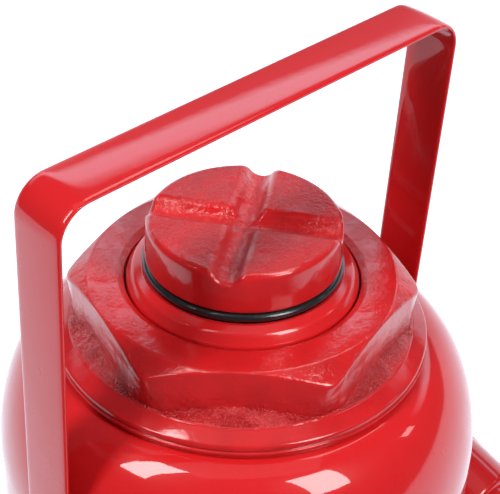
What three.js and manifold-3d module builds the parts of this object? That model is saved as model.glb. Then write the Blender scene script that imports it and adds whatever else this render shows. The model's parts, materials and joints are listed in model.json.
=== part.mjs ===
// A 50-ton class hydraulic bottle jack with a swinging strap handle.
// Millimetres, +Z up. The origin is on the ram axis, in the plane of the base's underside.
// The carry handle spans X, the pump stands on the +X side, and the operator works from -Y.
import * as THREE from "three";
import { mergeVertices } from "three/addons/utils/BufferGeometryUtils.js";
import Module from "manifold-3d";

const wasm = await Module();
wasm.setup();

// ---------------------------------------------------------------- driving dimensions
const TANK_RADIUS = 80;
const TANK_WALL = 3;
const NUT_TOP = 297; // top face of the hexagon nut
const NUT_ACROSS_FLATS = 99;
const NUT_TURN = THREE.MathUtils.degToRad(13); // direction of one corner of the hexagon
const FLANGE_RADIUS = 60.5;
const RAM_RADIUS = 37;
const CYLINDER_BORE = 45;
const CYLINDER_RADIUS = 57;
const SCREW_RADIUS = 30.3;
const SADDLE_RADIUS = 31.1;
const SADDLE_GROOVE_TURN = THREE.MathUtils.degToRad(34);
const STRAP_WIDTH = 19;
const STRAP_THICKNESS = 2;
const HANDLE_TOP = NUT_TOP + 67.2;
const HANDLE_LEAN = THREE.MathUtils.degToRad(1.85); // at rest the handle leans towards the operator
const GAP = 0.2; // clearance between two separate pieces

// base casting
const FOOT = { left: -96, right: 148, halfDepth: 90, height: 16, corner: 28 };
const BODY_INSET = 10;
const BODY_TOP = 50;
const SKIRT_TOP = 78;
const RESERVOIR_FLOOR = 82;
const CYLINDER_SEAT = 52;

// pump, on its own vertical axis
const PUMP = new THREE.Vector2(110, 0);
const PUMP_PIN_Z = 148.5; // plunger pin with the plunger fully down
const PLUNGER_RADIUS = 8;
const PIN_RADIUS = 5;
const LEVER_ARM = 34; // plunger pin to fulcrum pin
const LEVER_REST_RISE = THREE.MathUtils.degToRad(5); // the fulcrum pin sits above the plunger pin
const SOCKET_DROOP = THREE.MathUtils.degToRad(16); // the handle socket points down at rest
const LINK_PIN = new THREE.Vector2(30.4, 87.5); // lower link pin, as Y and Z
const LINK_REACH = 64; // between the link's two pins

// valves in the base
const SUCTION_Z = 11;
const INLET_SEAT_Z = 19;
const PUMP_CHAMBER_TOP = 34;
const CROSS_GALLERY_Z = 26;
const DELIVERY_SEAT_Z = 31;
const PRESSURE_GALLERY_Z = 39;
const VALVE_Y = -34; // delivery and safety valves stand in this plane
const SAFETY_X = 88;
const SAFETY_SEAT_Z = 45;
const RELEASE_X = 56;
const RELEASE_SEAT_Y = -42;
const RELEASE_BOSS_Y = -84;
const ANNULUS_RADIUS = 67; // middle of the ring-shaped oil space

// segments round a circle, by size
const LARGE = 40;
const FINE = 32;
const ROUND = 20;
const SMALL = 12;
const TINY = 8;
const MERGE = 0.02; // slivers thinner than this are merged after a boolean

// ---------------------------------------------------------------- geometry helpers
function closed(geometry) {
  const bare = geometry.clone();
  bare.deleteAttribute("normal");
  bare.deleteAttribute("uv");
  const merged = mergeVertices(bare, 1e-4);
  const position = merged.attributes.position;
  const corner = (i) => new THREE.Vector3().fromBufferAttribute(position, i);
  const kept = [];
  let volume = 0;
  for (let i = 0; i < merged.index.count; i += 3) {
    const [a, b, c] = [0, 1, 2].map((k) => merged.index.getX(i + k));
    if (a === b || b === c || c === a) continue;
    kept.push(a, b, c);
    volume += corner(a).dot(corner(b).cross(corner(c)));
  }
  if (volume < 0) kept.reverse();
  merged.setIndex(kept);
  return merged;
}

function solid(geometry) {
  const merged = closed(geometry);
  const vertProperties = new Float32Array(merged.attributes.position.array);
  const triVerts = new Uint32Array(merged.index.array);
  return new wasm.Manifold(new wasm.Mesh({ numProp: 3, vertProperties, triVerts }));
}

function surface(manifold) {
  const { vertProperties, triVerts } = manifold.asOriginal().simplify(MERGE).getMesh();
  const geometry = new THREE.BufferGeometry();
  geometry.setAttribute("position", new THREE.BufferAttribute(vertProperties, 3));
  geometry.setIndex(new THREE.BufferAttribute(triVerts, 1));
  return geometry;
}

function join(...geometries) {
  return surface(geometries.map(solid).reduce((sum, next) => sum.add(next)));
}

function cut(geometry, ...tools) {
  return surface(tools.map(solid).reduce((rest, tool) => rest.subtract(tool), solid(geometry)));
}

function common(first, second) {
  return surface(solid(first).intersect(solid(second)));
}

// A turned piece about +Z from [radius, z] pairs that run from axis to axis or round a ring.
function turned(profile, segments = ROUND) {
  const geometry = new THREE.LatheGeometry(profile.map(([r, z]) => new THREE.Vector2(r, z)), segments);
  return closed(geometry.rotateX(Math.PI / 2));
}

function ring(inner, outer, bottom, top, segments = ROUND) {
  return turned([[inner, bottom], [outer, bottom], [outer, top], [inner, top], [inner, bottom]], segments);
}

// Points of an elliptical arc in a turned profile.
function arc(centre, radii, from, to, steps) {
  return Array.from({ length: steps + 1 }, (_, i) => {
    const angle = THREE.MathUtils.degToRad(from + ((to - from) * i) / steps);
    return [centre[0] + radii[0] * Math.cos(angle), centre[1] + radii[1] * Math.sin(angle)];
  });
}

// A round rod or hole between two points.
function rod(radius, start, end, segments = TINY) {
  const [a, b] = [start, end].map((p) => new THREE.Vector3(...p));
  const along = b.clone().sub(a);
  const geometry = new THREE.CylinderGeometry(radius, radius, along.length(), segments);
  geometry.rotateX(Math.PI / 2);
  const facing = new THREE.Vector3(0, 0, 1);
  geometry.applyQuaternion(new THREE.Quaternion().setFromUnitVectors(facing, along.normalize()));
  const middle = a.add(b).multiplyScalar(0.5);
  return geometry.translate(middle.x, middle.y, middle.z);
}

function block(low, high) {
  const size = high.map((v, i) => v - low[i]);
  const middle = high.map((v, i) => (v + low[i]) / 2);
  return new THREE.BoxGeometry(...size).translate(...middle);
}

function hexPrism(acrossFlats, bottom, top, turn = 0) {
  const geometry = new THREE.CylinderGeometry(1, 1, top - bottom, 6);
  const reach = acrossFlats / Math.sqrt(3);
  geometry.scale(reach, 1, reach).rotateX(Math.PI / 2);
  // CylinderGeometry puts its first corner on what is now -Y.
  return geometry.rotateZ(Math.PI / 2 + turn).translate(0, 0, (bottom + top) / 2);
}

// A bolt-like head: a hexagon whose outer corners are chamfered at one end or both.
function hexHead(acrossFlats, bottom, top, bevelBottom = true, bevelTop = true) {
  const flat = acrossFlats / 2;
  const reach = acrossFlats / Math.sqrt(3);
  const drop = (reach - flat) * 0.577;
  const profile = [[0, bottom]];
  if (bevelBottom) profile.push([flat * 0.98, bottom], [reach, bottom + drop]);
  else profile.push([reach, bottom]);
  if (bevelTop) profile.push([reach, top - drop], [flat * 0.98, top]);
  else profile.push([reach, top]);
  profile.push([0, top]);
  return common(hexPrism(acrossFlats, bottom - 1, top + 1), turned(profile, ROUND));
}

function roundedRectangle(left, right, halfDepth, corner) {
  const shape = new THREE.Shape();
  shape.absarc(right - corner, halfDepth - corner, corner, 0, Math.PI / 2);
  shape.absarc(left + corner, halfDepth - corner, corner, Math.PI / 2, Math.PI);
  shape.absarc(left + corner, corner - halfDepth, corner, Math.PI, Math.PI * 1.5);
  shape.absarc(right - corner, corner - halfDepth, corner, Math.PI * 1.5, Math.PI * 2);
  return shape;
}

// The outline round two circles, like a connecting link.
function linkShape(first, firstRadius, second, secondRadius) {
  const along = Math.atan2(second.y - first.y, second.x - first.x);
  const reach = first.distanceTo(second);
  const lean = Math.acos((firstRadius - secondRadius) / reach);
  const shape = new THREE.Shape();
  shape.absarc(first.x, first.y, firstRadius, along + lean, along - lean + Math.PI * 2);
  shape.absarc(second.x, second.y, secondRadius, along - lean, along + lean);
  return shape;
}

const YZ_PLATE = new THREE.Matrix4().makeBasis(
  new THREE.Vector3(0, 1, 0),
  new THREE.Vector3(0, 0, 1),
  new THREE.Vector3(1, 0, 0),
);
const XZ_PLATE = new THREE.Matrix4().makeBasis(
  new THREE.Vector3(1, 0, 0),
  new THREE.Vector3(0, 0, 1),
  new THREE.Vector3(0, -1, 0),
);

// A flat plate whose outline is drawn in Y and Z, between two values of X.
function plate(shape, low, high, curveSegments = 8) {
  const options = { depth: high - low, bevelEnabled: false, curveSegments };
  return new THREE.ExtrudeGeometry(shape, options).applyMatrix4(YZ_PLATE).translate(low, 0, 0);
}

function platePair(shape, inner, outer) {
  return [plate(shape, inner, outer), plate(shape, -outer, -inner)];
}

// ---------------------------------------------------------------- base casting
function drilledGalleries() {
  const far = FOOT.right + 2;
  const suctionTurn = [ANNULUS_RADIUS, 0];
  const safetyReturn = new THREE.Vector2(SAFETY_X, VALVE_Y).setLength(ANNULUS_RADIUS);
  return [
    // suction: along the foot, up into the oil space, and up to the pump's inlet seat
    rod(3, [far, 0, SUCTION_Z], [ANNULUS_RADIUS, 0, SUCTION_Z]),
    rod(3, [...suctionTurn, SUCTION_Z - 1], [...suctionTurn, RESERVOIR_FLOOR + 1]),
    rod(2.2, [PUMP.x, 0, SUCTION_Z], [PUMP.x, 0, INLET_SEAT_Z + 1]),
    rod(6.2, [PUMP.x, 0, INLET_SEAT_Z], [PUMP.x, 0, PUMP_CHAMBER_TOP + 1], SMALL),
    // pump chamber to the delivery valve, plugged at the front face
    rod(2.5, [PUMP.x, -FOOT.halfDepth, CROSS_GALLERY_Z], [PUMP.x, 0, CROSS_GALLERY_Z]),
    rod(5.4, [PUMP.x, -FOOT.halfDepth, CROSS_GALLERY_Z], [PUMP.x, -70, CROSS_GALLERY_Z], SMALL),
    rod(2.5, [PUMP.x, VALVE_Y, CROSS_GALLERY_Z], [PUMP.x, VALVE_Y, DELIVERY_SEAT_Z + 1]),
    rod(7, [PUMP.x, VALVE_Y, DELIVERY_SEAT_Z], [PUMP.x, VALVE_Y, BODY_TOP + 20], SMALL),
    // pressure gallery to the middle of the working cylinder, plugged at the side face
    rod(2.5, [far, VALVE_Y, PRESSURE_GALLERY_Z], [20, VALVE_Y, PRESSURE_GALLERY_Z]),
    rod(5.4, [far, VALVE_Y, PRESSURE_GALLERY_Z], [128, VALVE_Y, PRESSURE_GALLERY_Z], SMALL),
    rod(2.5, [20, VALVE_Y, PRESSURE_GALLERY_Z - 1], [20, VALVE_Y, CYLINDER_SEAT + 1]),
    // safety valve and its return to the oil space
    rod(1.8, [SAFETY_X, VALVE_Y, PRESSURE_GALLERY_Z], [SAFETY_X, VALVE_Y, SAFETY_SEAT_Z + 1]),
    rod(5.5, [SAFETY_X, VALVE_Y, SAFETY_SEAT_Z], [SAFETY_X, VALVE_Y, BODY_TOP + 30], SMALL),
    rod(1.8, [SAFETY_X, VALVE_Y, 50], [safetyReturn.x, safetyReturn.y, 50]),
    rod(1.8, [safetyReturn.x, safetyReturn.y, 49], [safetyReturn.x, safetyReturn.y, RESERVOIR_FLOOR + 1]),
    // release valve and its return to the oil space
    rod(2, [RELEASE_X, VALVE_Y, PRESSURE_GALLERY_Z], [RELEASE_X, RELEASE_SEAT_Y - 1, PRESSURE_GALLERY_Z]),
    rod(5.5, [RELEASE_X, RELEASE_SEAT_Y, PRESSURE_GALLERY_Z], [RELEASE_X, -59, PRESSURE_GALLERY_Z], SMALL),
    rod(8.3, [RELEASE_X, -58, PRESSURE_GALLERY_Z], [RELEASE_X, -100, PRESSURE_GALLERY_Z], SMALL),
    rod(2.2, [RELEASE_X, -46, PRESSURE_GALLERY_Z], [RELEASE_X, -46, RESERVOIR_FLOOR + 1]),
  ];
}

const PAD_X = TANK_RADIUS + 0.2; // machined face that the strap handle swings against
const PIVOT = { y: 5.4, z: 66, shank: 5, hole: 5.4 }; // shoulder bolt at the foot of each handle leg
const PUMP_BOSS_TOP = 66;

function baseCasting() {
  const foot = new THREE.ExtrudeGeometry(
    roundedRectangle(FOOT.left + 2, FOOT.right - 2, FOOT.halfDepth - 2, FOOT.corner - 2),
    { depth: FOOT.height - 4, bevelThickness: 2, bevelSize: 2, bevelSegments: 1, curveSegments: 6 },
  ).translate(0, 0, 2);
  const inset = BODY_INSET + 6;
  const body = new THREE.ExtrudeGeometry(
    roundedRectangle(FOOT.left + inset, FOOT.right - inset, FOOT.halfDepth - inset, FOOT.corner - 8),
    { depth: BODY_TOP - 18, bevelThickness: 6, bevelSize: 6, bevelSegments: 2, curveSegments: 5 },
  ).translate(0, 0, 12);
  const skirt = turned([
    [0, BODY_TOP - 4], [TANK_RADIUS + 4, BODY_TOP - 4], [TANK_RADIUS + 1.5, BODY_TOP],
    [TANK_RADIUS - 0.4, BODY_TOP + 2.5], [TANK_RADIUS - 0.4, SKIRT_TOP],
    [TANK_RADIUS - TANK_WALL - 0.6, SKIRT_TOP], [TANK_RADIUS - TANK_WALL - 0.6, RESERVOIR_FLOOR],
    [0, RESERVOIR_FLOOR],
  ], FINE);
  const padHalf = STRAP_WIDTH / 2 + 3.5;
  const pads = [-1, 1].map((side) => block(
    [Math.min(side * 70, side * PAD_X), PIVOT.y - padHalf, BODY_TOP - 2],
    [Math.max(side * 70, side * PAD_X), PIVOT.y + padHalf, SKIRT_TOP],
  ));
  const boss = (x, y, radius, top) => turned([
    [0, BODY_TOP - 4], [radius + 2, BODY_TOP - 4], [radius + 2, BODY_TOP], [radius, BODY_TOP + 2],
    [radius, top - 1.5], [radius - 1.5, top], [0, top],
  ], ROUND).translate(x, y, 0);
  const ear = linkShape(LINK_PIN, 12, new THREE.Vector2(LINK_PIN.x, BODY_TOP - 10), 14);
  const releaseBoss = rod(14, [RELEASE_X, -60, PRESSURE_GALLERY_Z],
    [RELEASE_X, RELEASE_BOSS_Y, PRESSURE_GALLERY_Z], ROUND);
  const ears = platePair(ear, 7.6, 17.6).map((g) => g.translate(PUMP.x, 0, 0));
  // Nothing of the casting stands below its own underside.
  const casting = join(foot, body, skirt, ...pads, boss(PUMP.x, 0, 20, PUMP_BOSS_TOP), ...ears,
    boss(PUMP.x, VALVE_Y, 12, 60), boss(SAFETY_X, VALVE_Y, 11, 68), releaseBoss);
  const boltHoles = [-1, 1].map((side) =>
    rod(PIVOT.hole, [side * 64, PIVOT.y, PIVOT.z], [side * 90, PIVOT.y, PIVOT.z], SMALL));
  return cut(
    casting,
    rod(CYLINDER_RADIUS + 0.4, [0, 0, CYLINDER_SEAT], [0, 0, RESERVOIR_FLOOR + 2], FINE),
    rod(13.3, [PUMP.x, 0, PUMP_CHAMBER_TOP], [PUMP.x, 0, PUMP_BOSS_TOP + 2], ROUND),
    rod(PIN_RADIUS + GAP, [80, ...LINK_PIN], [150, ...LINK_PIN], SMALL),
    ...drilledGalleries(),
    ...boltHoles,
  );
}

// ---------------------------------------------------------------- reservoir and cylinder
const DOME_START = NUT_TOP - 64.4;
const DOME_TOP = NUT_TOP - 24.3;
const DOME_CENTRE_RADIUS = 58.4;
const TANK_BOTTOM = SKIRT_TOP + 1.8;
const FILLER_Z = 196;
const FILLER_RADIUS = 7;

function reservoirTank() {
  const rise = DOME_TOP - DOME_START;
  const width = TANK_RADIUS - DOME_CENTRE_RADIUS;
  const inside = [width - TANK_WALL, rise - TANK_WALL];
  const centre = [DOME_CENTRE_RADIUS, DOME_START];
  const shell = turned([
    [TANK_RADIUS, TANK_BOTTOM], ...arc(centre, [width, rise], 0, 90, 7),
    [CYLINDER_RADIUS + 1.2, DOME_TOP], [CYLINDER_RADIUS + 1.2, DOME_TOP - TANK_WALL],
    ...arc(centre, inside, 90, 0, 4), [TANK_RADIUS - TANK_WALL, TANK_BOTTOM], [TANK_RADIUS, TANK_BOTTOM],
  ], LARGE);
  return cut(shell, rod(FILLER_RADIUS, [0, 70, FILLER_Z], [0, 90, FILLER_Z], SMALL));
}

function fillerPlug() {
  const lip = FILLER_RADIUS + 2.4;
  return turned([
    [0, -6], [FILLER_RADIUS - 1.6, -6], [FILLER_RADIUS - 0.4, -4.8], [FILLER_RADIUS - 0.8, -3.8],
    [FILLER_RADIUS - 0.8, 0.6], [lip, 0.9], [lip, 2], [lip - 1, 2.8], [3.4, 3.2], [3, 2.2], [0, 2.2],
  ], SMALL);
}

const CYLINDER_BOTTOM = CYLINDER_SEAT + 2.2;
const CYLINDER_TOP = DOME_TOP + 1;
const SPIGOT_BOTTOM = NUT_TOP - 51;

function cylinderTube() {
  const thread = 51.4;
  const shoulder = SPIGOT_BOTTOM - 3;
  return turned([
    [CYLINDER_BORE, CYLINDER_BOTTOM], [CYLINDER_RADIUS, CYLINDER_BOTTOM], [CYLINDER_RADIUS, CYLINDER_TOP],
    [thread, CYLINDER_TOP], [thread, shoulder], [CYLINDER_BORE, shoulder], [CYLINDER_BORE, CYLINDER_BOTTOM],
  ], FINE);
}

// ---------------------------------------------------------------- top nut and its rings
const FLANGE_BOTTOM = DOME_TOP + 1.4;
const RAM_CLEARANCE_BORE = RAM_RADIUS + 0.6;
const WIPER = { bottom: NUT_TOP - 9, top: NUT_TOP - 4, groove: 41.2 };
const BUSHING = { top: SPIGOT_BOTTOM + 18, groove: 41.2 };

function topNut() {
  const flat = NUT_ACROSS_FLATS / 2;
  const reach = NUT_ACROSS_FLATS / Math.sqrt(3);
  const hexBottom = NUT_TOP - 18;
  const chamfer = turned([
    [0, hexBottom], [reach, hexBottom], [reach, NUT_TOP - (reach - flat + 0.5) * 0.577],
    [flat - 0.5, NUT_TOP], [0, NUT_TOP],
  ], FINE);
  const hexagon = common(hexPrism(NUT_ACROSS_FLATS, hexBottom, NUT_TOP + 1, NUT_TURN), chamfer);
  const flange = turned([
    [0, SPIGOT_BOTTOM], [51.1, SPIGOT_BOTTOM], [51.1, FLANGE_BOTTOM], [FLANGE_RADIUS, FLANGE_BOTTOM],
    [FLANGE_RADIUS, NUT_TOP - 20.5], [FLANGE_RADIUS - 1.2, NUT_TOP - 19.4], [52, NUT_TOP - 14.1],
    [48, NUT_TOP - 12.7], [0, NUT_TOP - 12.7],
  ], FINE);
  const bore = turned([
    [0, SPIGOT_BOTTOM - 1], [BUSHING.groove, SPIGOT_BOTTOM - 1], [BUSHING.groove, BUSHING.top],
    [RAM_CLEARANCE_BORE, BUSHING.top], [RAM_CLEARANCE_BORE, WIPER.bottom], [WIPER.groove, WIPER.bottom],
    [WIPER.groove, WIPER.top], [RAM_CLEARANCE_BORE, WIPER.top], [RAM_CLEARANCE_BORE, NUT_TOP - 0.9],
    [RAM_CLEARANCE_BORE + 1.4, NUT_TOP + 0.5], [0, NUT_TOP + 0.5],
  ], FINE);
  return cut(join(hexagon, flange), bore);
}

function wiperSeal() {
  const outer = WIPER.groove - GAP;
  return turned([
    [RAM_RADIUS + GAP, WIPER.top - 0.3], [RAM_RADIUS + 1.6, WIPER.top - 1.6],
    [RAM_RADIUS + 1.6, WIPER.bottom + GAP], [outer, WIPER.bottom + GAP], [outer, WIPER.top - GAP],
    [RAM_RADIUS + GAP, WIPER.top - 0.3],
  ], FINE);
}

// ---------------------------------------------------------------- ram, screw and saddle
const RAM_BOTTOM = CYLINDER_SEAT + 4;
const PISTON_TOP = RAM_BOTTOM + 20;
const SCREW_BOTTOM = NUT_TOP - 74;
const RAM_RIM = NUT_TOP + 3.6;
const RAM_BORE = SCREW_RADIUS + 0.6;
const PISTON_RADIUS = CYLINDER_BORE - 0.4;
const CUP_GROOVE = { bottom: RAM_BOTTOM + 3, top: RAM_BOTTOM + 11, radius: 38.5 };
const WEAR_GROOVE = { bottom: RAM_BOTTOM + 14, top: RAM_BOTTOM + 18, radius: 42 };

function ramBody() {
  const piston = PISTON_RADIUS;
  const [cup, wear] = [CUP_GROOVE, WEAR_GROOVE];
  return turned([
    [0, RAM_BOTTOM], [piston - 1.5, RAM_BOTTOM], [piston, RAM_BOTTOM + 1.5], [piston, cup.bottom],
    [cup.radius, cup.bottom], [cup.radius, cup.top], [piston, cup.top], [piston, wear.bottom],
    [wear.radius, wear.bottom], [wear.radius, wear.top], [piston, wear.top], [piston, PISTON_TOP - 1],
    [piston - 1, PISTON_TOP], [RAM_RADIUS, PISTON_TOP], [RAM_RADIUS, NUT_TOP - 1.5],
    [32.8, RAM_RIM - 0.3], [32.1, RAM_RIM], [RAM_BORE + 0.5, RAM_RIM], [RAM_BORE, RAM_RIM - 0.6],
    [RAM_BORE, SCREW_BOTTOM - 6], [RAM_BORE - 3, SCREW_BOTTOM - 9], [0, SCREW_BOTTOM - 9],
  ], FINE);
}

function pistonCup() {
  const outer = CYLINDER_BORE - 0.1;
  const inner = CUP_GROOVE.radius + 0.1;
  const bottom = CUP_GROOVE.bottom + 0.1;
  return turned([
    [inner, bottom], [inner + 1.8, bottom], [inner + 2.4, bottom + 2.4], [outer - 2, bottom + 2.4],
    [outer - 1.2, bottom], [outer, bottom], [outer, bottom + 5.2], [inner, bottom + 5.2], [inner, bottom],
  ], FINE);
}

const SCREW_TOP = NUT_TOP + 6.7;
const SADDLE_BOTTOM = SCREW_TOP + 0.3;
const SADDLE_TOP = SADDLE_BOTTOM + 13.7;
const SADDLE_NECK = 15.6;
const SNAP_RING = { bottom: SADDLE_BOTTOM + 1.4, top: SADDLE_BOTTOM + 3.2 };

function extensionScrew() {
  const neckTop = SADDLE_BOTTOM + 5.3;
  const groove = SNAP_RING;
  return turned([
    [0, SCREW_BOTTOM], [SCREW_RADIUS - 3, SCREW_BOTTOM], [SCREW_RADIUS, SCREW_BOTTOM + 3],
    [SCREW_RADIUS, SCREW_TOP - 0.8], [SCREW_RADIUS - 0.8, SCREW_TOP], [SADDLE_NECK, SCREW_TOP],
    [SADDLE_NECK, groove.bottom], [SADDLE_NECK - 1.8, groove.bottom], [SADDLE_NECK - 1.8, groove.top],
    [SADDLE_NECK, groove.top], [SADDLE_NECK, neckTop - 1], [SADDLE_NECK - 1, neckTop], [0, neckTop],
  ], ROUND);
}

function saddleCap() {
  const edge = 2.4;
  const cap = turned([
    [0, SADDLE_BOTTOM], [SADDLE_RADIUS - 1.6, SADDLE_BOTTOM], [SADDLE_RADIUS - 0.4, SADDLE_BOTTOM + 1],
    ...arc([SADDLE_RADIUS - edge, SADDLE_TOP - edge], [edge, edge], 0, 90, 3), [0, SADDLE_TOP],
  ], FINE);
  const trough = new THREE.Shape([
    new THREE.Vector2(-2.9, -4.8), new THREE.Vector2(2.9, -4.8), new THREE.Vector2(6.2, 0.6),
    new THREE.Vector2(-6.2, 0.6),
  ]);
  const groove = (turn) => plate(trough, -40, 40).rotateZ(turn).translate(0, 0, SADDLE_TOP);
  const socket = turned([
    [0, SADDLE_BOTTOM - 1], [SADDLE_NECK + 0.4, SADDLE_BOTTOM - 1], [SADDLE_NECK + 0.4, SNAP_RING.bottom - GAP],
    [SADDLE_NECK + 2.2, SNAP_RING.bottom - GAP], [SADDLE_NECK + 2.2, SNAP_RING.top + GAP],
    [SADDLE_NECK + 0.4, SNAP_RING.top + GAP], [SADDLE_NECK + 0.4, SADDLE_BOTTOM + 6], [0, SADDLE_BOTTOM + 6],
  ], ROUND);
  return cut(cap, socket, groove(SADDLE_GROOVE_TURN), groove(SADDLE_GROOVE_TURN + Math.PI / 2));
}

// An open spring ring that fills a groove between two radii.
function snapRing(inner, outer, thickness, openingDegrees) {
  const half = THREE.MathUtils.degToRad(openingDegrees / 2);
  const shape = new THREE.Shape();
  shape.absarc(0, 0, outer, half, Math.PI * 2 - half);
  shape.absarc(0, 0, inner, Math.PI * 2 - half, half, true);
  return new THREE.ExtrudeGeometry(shape, { depth: thickness, bevelEnabled: false, curveSegments: 10 });
}

// ---------------------------------------------------------------- carry handle
const STRAP_INSIDE = TANK_RADIUS + 0.5;
const STRAP_BEND = 11;

// The handle is drawn upright from its pivot axis.
function carryHandle() {
  const outside = STRAP_INSIDE + STRAP_THICKNESS;
  const bend = STRAP_BEND - STRAP_THICKNESS;
  const top = HANDLE_TOP - PIVOT.z;
  const underside = top - STRAP_THICKNESS;
  const half = STRAP_WIDTH / 2;
  const shape = new THREE.Shape();
  shape.moveTo(outside, -half);
  shape.absarc(outside - STRAP_BEND, top - STRAP_BEND, STRAP_BEND, 0, Math.PI / 2);
  shape.absarc(STRAP_BEND - outside, top - STRAP_BEND, STRAP_BEND, Math.PI / 2, Math.PI);
  shape.lineTo(-outside, -half);
  shape.lineTo(-STRAP_INSIDE, -half);
  shape.absarc(bend - STRAP_INSIDE, underside - bend, bend, Math.PI, Math.PI / 2, true);
  shape.absarc(STRAP_INSIDE - bend, underside - bend, bend, Math.PI / 2, 0, true);
  shape.lineTo(STRAP_INSIDE, -half);
  const strap = new THREE.ExtrudeGeometry(shape, { depth: STRAP_WIDTH, bevelEnabled: false, curveSegments: 6 });
  strap.applyMatrix4(XZ_PLATE).translate(0, half, 0);
  // Both legs end in a half circle round the pivot.
  const side = new THREE.Shape();
  side.absarc(0, 0, half, Math.PI, Math.PI * 2);
  side.lineTo(half, top + 1);
  side.lineTo(-half, top + 1);
  const rounded = common(strap, plate(side, -outside - 1, outside + 1));
  return cut(rounded, rod(PIVOT.hole, [-outside - 1, 0, 0], [outside + 1, 0, 0], SMALL));
}

// A flanged hexagon bolt along +Z: the head's seat is at zero and the shank runs down.
function hexBolt(shankRadius, shankLength, acrossFlats, headHeight) {
  const washer = turned([[0, 0], [acrossFlats * 0.62, 0], [acrossFlats * 0.6, 1], [0, 1]], SMALL);
  const shank = turned([
    [0, -shankLength], [shankRadius - 0.8, -shankLength], [shankRadius, 0.8 - shankLength],
    [shankRadius, 0.5], [0, 0.5],
  ], TINY);
  return join(washer, shank, hexHead(acrossFlats, 0.6, headHeight, false, true));
}

// ---------------------------------------------------------------- pump
const PUMP_TOP = 120;
const PLUNGER_BOTTOM = 50;
const EYE_HALF_WIDTH = 8.5;

function pumpCylinder() {
  const bore = PLUNGER_RADIUS + 0.3;
  const foot = PUMP_CHAMBER_TOP + 2.3;
  const collar = PUMP_BOSS_TOP + GAP;
  const outer = turned([
    [0, foot], [12, foot], [13, foot + 1], [13, collar], [14.6, collar], [15, collar + 1], [15, PUMP_TOP - 2],
    [13.5, PUMP_TOP], [0, PUMP_TOP],
  ], ROUND);
  const hexagon = hexHead(32, collar, collar + 12, false, true);
  const gland = { bottom: PUMP_TOP - 6, top: PUMP_TOP - 2.5, radius: 11.2 };
  const hollow = turned([
    [0, foot - 1], [bore, foot - 1], [bore, gland.bottom], [gland.radius, gland.bottom],
    [gland.radius, gland.top], [bore, gland.top], [bore, PUMP_TOP + 1], [0, PUMP_TOP + 1],
  ], ROUND);
  return cut(join(outer, hexagon), hollow);
}

function pumpPlunger() {
  const shaft = turned([
    [0, PLUNGER_BOTTOM], [PLUNGER_RADIUS - 1, PLUNGER_BOTTOM], [PLUNGER_RADIUS, PLUNGER_BOTTOM + 1],
    [PLUNGER_RADIUS, 54], [5.6, 54], [5.6, 59], [PLUNGER_RADIUS, 59], [PLUNGER_RADIUS, PUMP_PIN_Z - 8],
    [0, PUMP_PIN_Z - 8],
  ], ROUND);
  const eye = new THREE.Shape().absarc(0, PUMP_PIN_Z, 12, 0, Math.PI * 2);
  const pinHole = [[-20, 0, PUMP_PIN_Z], [20, 0, PUMP_PIN_Z]];
  return cut(join(shaft, plate(eye, -EYE_HALF_WIDTH, EYE_HALF_WIDTH)), rod(PIN_RADIUS + GAP, ...pinHole, SMALL));
}

// ---------------------------------------------------------------- lever, socket and link
// Lever shapes are drawn in Y and Z from the plunger pin, with the socket level along -Y.
const FULCRUM = new THREE.Vector2(LEVER_ARM, 0).rotateAround(
  new THREE.Vector2(),
  LEVER_REST_RISE - SOCKET_DROOP,
);
const CHEEK = { inner: 9.4, outer: 17.4 };
const SOCKET = { radius: 14.5, bore: 12, start: 22, end: 102 };

function pumpLever() {
  const pin = new THREE.Vector2(0, 0);
  const yoke = new THREE.Vector2(-24, 0);
  const cheeks = [
    ...platePair(linkShape(FULCRUM, 13, pin, 15), CHEEK.inner, CHEEK.outer),
    ...platePair(linkShape(pin, 15, yoke, 8.5), CHEEK.inner, CHEEK.outer),
  ];
  const barrel = turned([
    [0, 15], [16, 15], [19, 18], [19, 37], [17.5, 39], [0, 39],
  ], ROUND).rotateX(Math.PI / 2);
  const holes = [FULCRUM, pin].map((at) => rod(PIN_RADIUS + GAP, [-30, at.x, at.y], [30, at.x, at.y], SMALL));
  const seat = rod(SOCKET.radius + GAP, [0, -SOCKET.start + GAP, 0], [0, -60, 0], ROUND);
  return cut(join(...cheeks, barrel), seat, ...holes);
}

function handleSocket() {
  const { radius, bore, start, end } = SOCKET;
  const tube = turned([
    [bore, start], [radius, start], [radius, end - 1.5], [radius - 1, end], [bore + 0.8, end],
    [bore, end - 1], [bore, start],
  ], ROUND).rotateX(Math.PI / 2);
  return cut(tube, block([-2.6, -end - 1, 0], [2.6, -end + 14, radius + 2]));
}

function fulcrumLink() {
  const top = new THREE.Vector2(0, LINK_REACH);
  const foot = new THREE.Vector2(0, 0);
  const half = 7;
  const plates = [
    plate(linkShape(foot, 8, top, 8), -half, half),
    plate(new THREE.Shape().absarc(0, LINK_REACH, 12.6, 0, Math.PI * 2), -half, half),
    plate(new THREE.Shape().absarc(0, 0, 11.5, 0, Math.PI * 2), -half, half),
  ];
  return cut(
    join(...plates),
    rod(PIN_RADIUS + GAP, [-20, 0, 0], [20, 0, 0], SMALL),
    rod(PIN_RADIUS + 3.8, [-20, 0, LINK_REACH], [20, 0, LINK_REACH], SMALL),
  );
}

// A headed pin along +X: the head's seat is at -grip and a clip groove lies past +grip.
function clevisPin(grip) {
  const groove = grip + 0.9;
  return turned([
    [0, -grip - 3], [PIN_RADIUS + 1.6, -grip - 3], [PIN_RADIUS + 2.4, -grip - 2.2], [PIN_RADIUS + 2.4, -grip],
    [PIN_RADIUS, -grip], [PIN_RADIUS, groove], [PIN_RADIUS - 1, groove], [PIN_RADIUS - 1, groove + 1.6],
    [PIN_RADIUS, groove + 1.6], [PIN_RADIUS, groove + 3.2], [PIN_RADIUS - 0.8, groove + 4], [0, groove + 4],
  ], SMALL).rotateY(Math.PI / 2);
}

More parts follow.
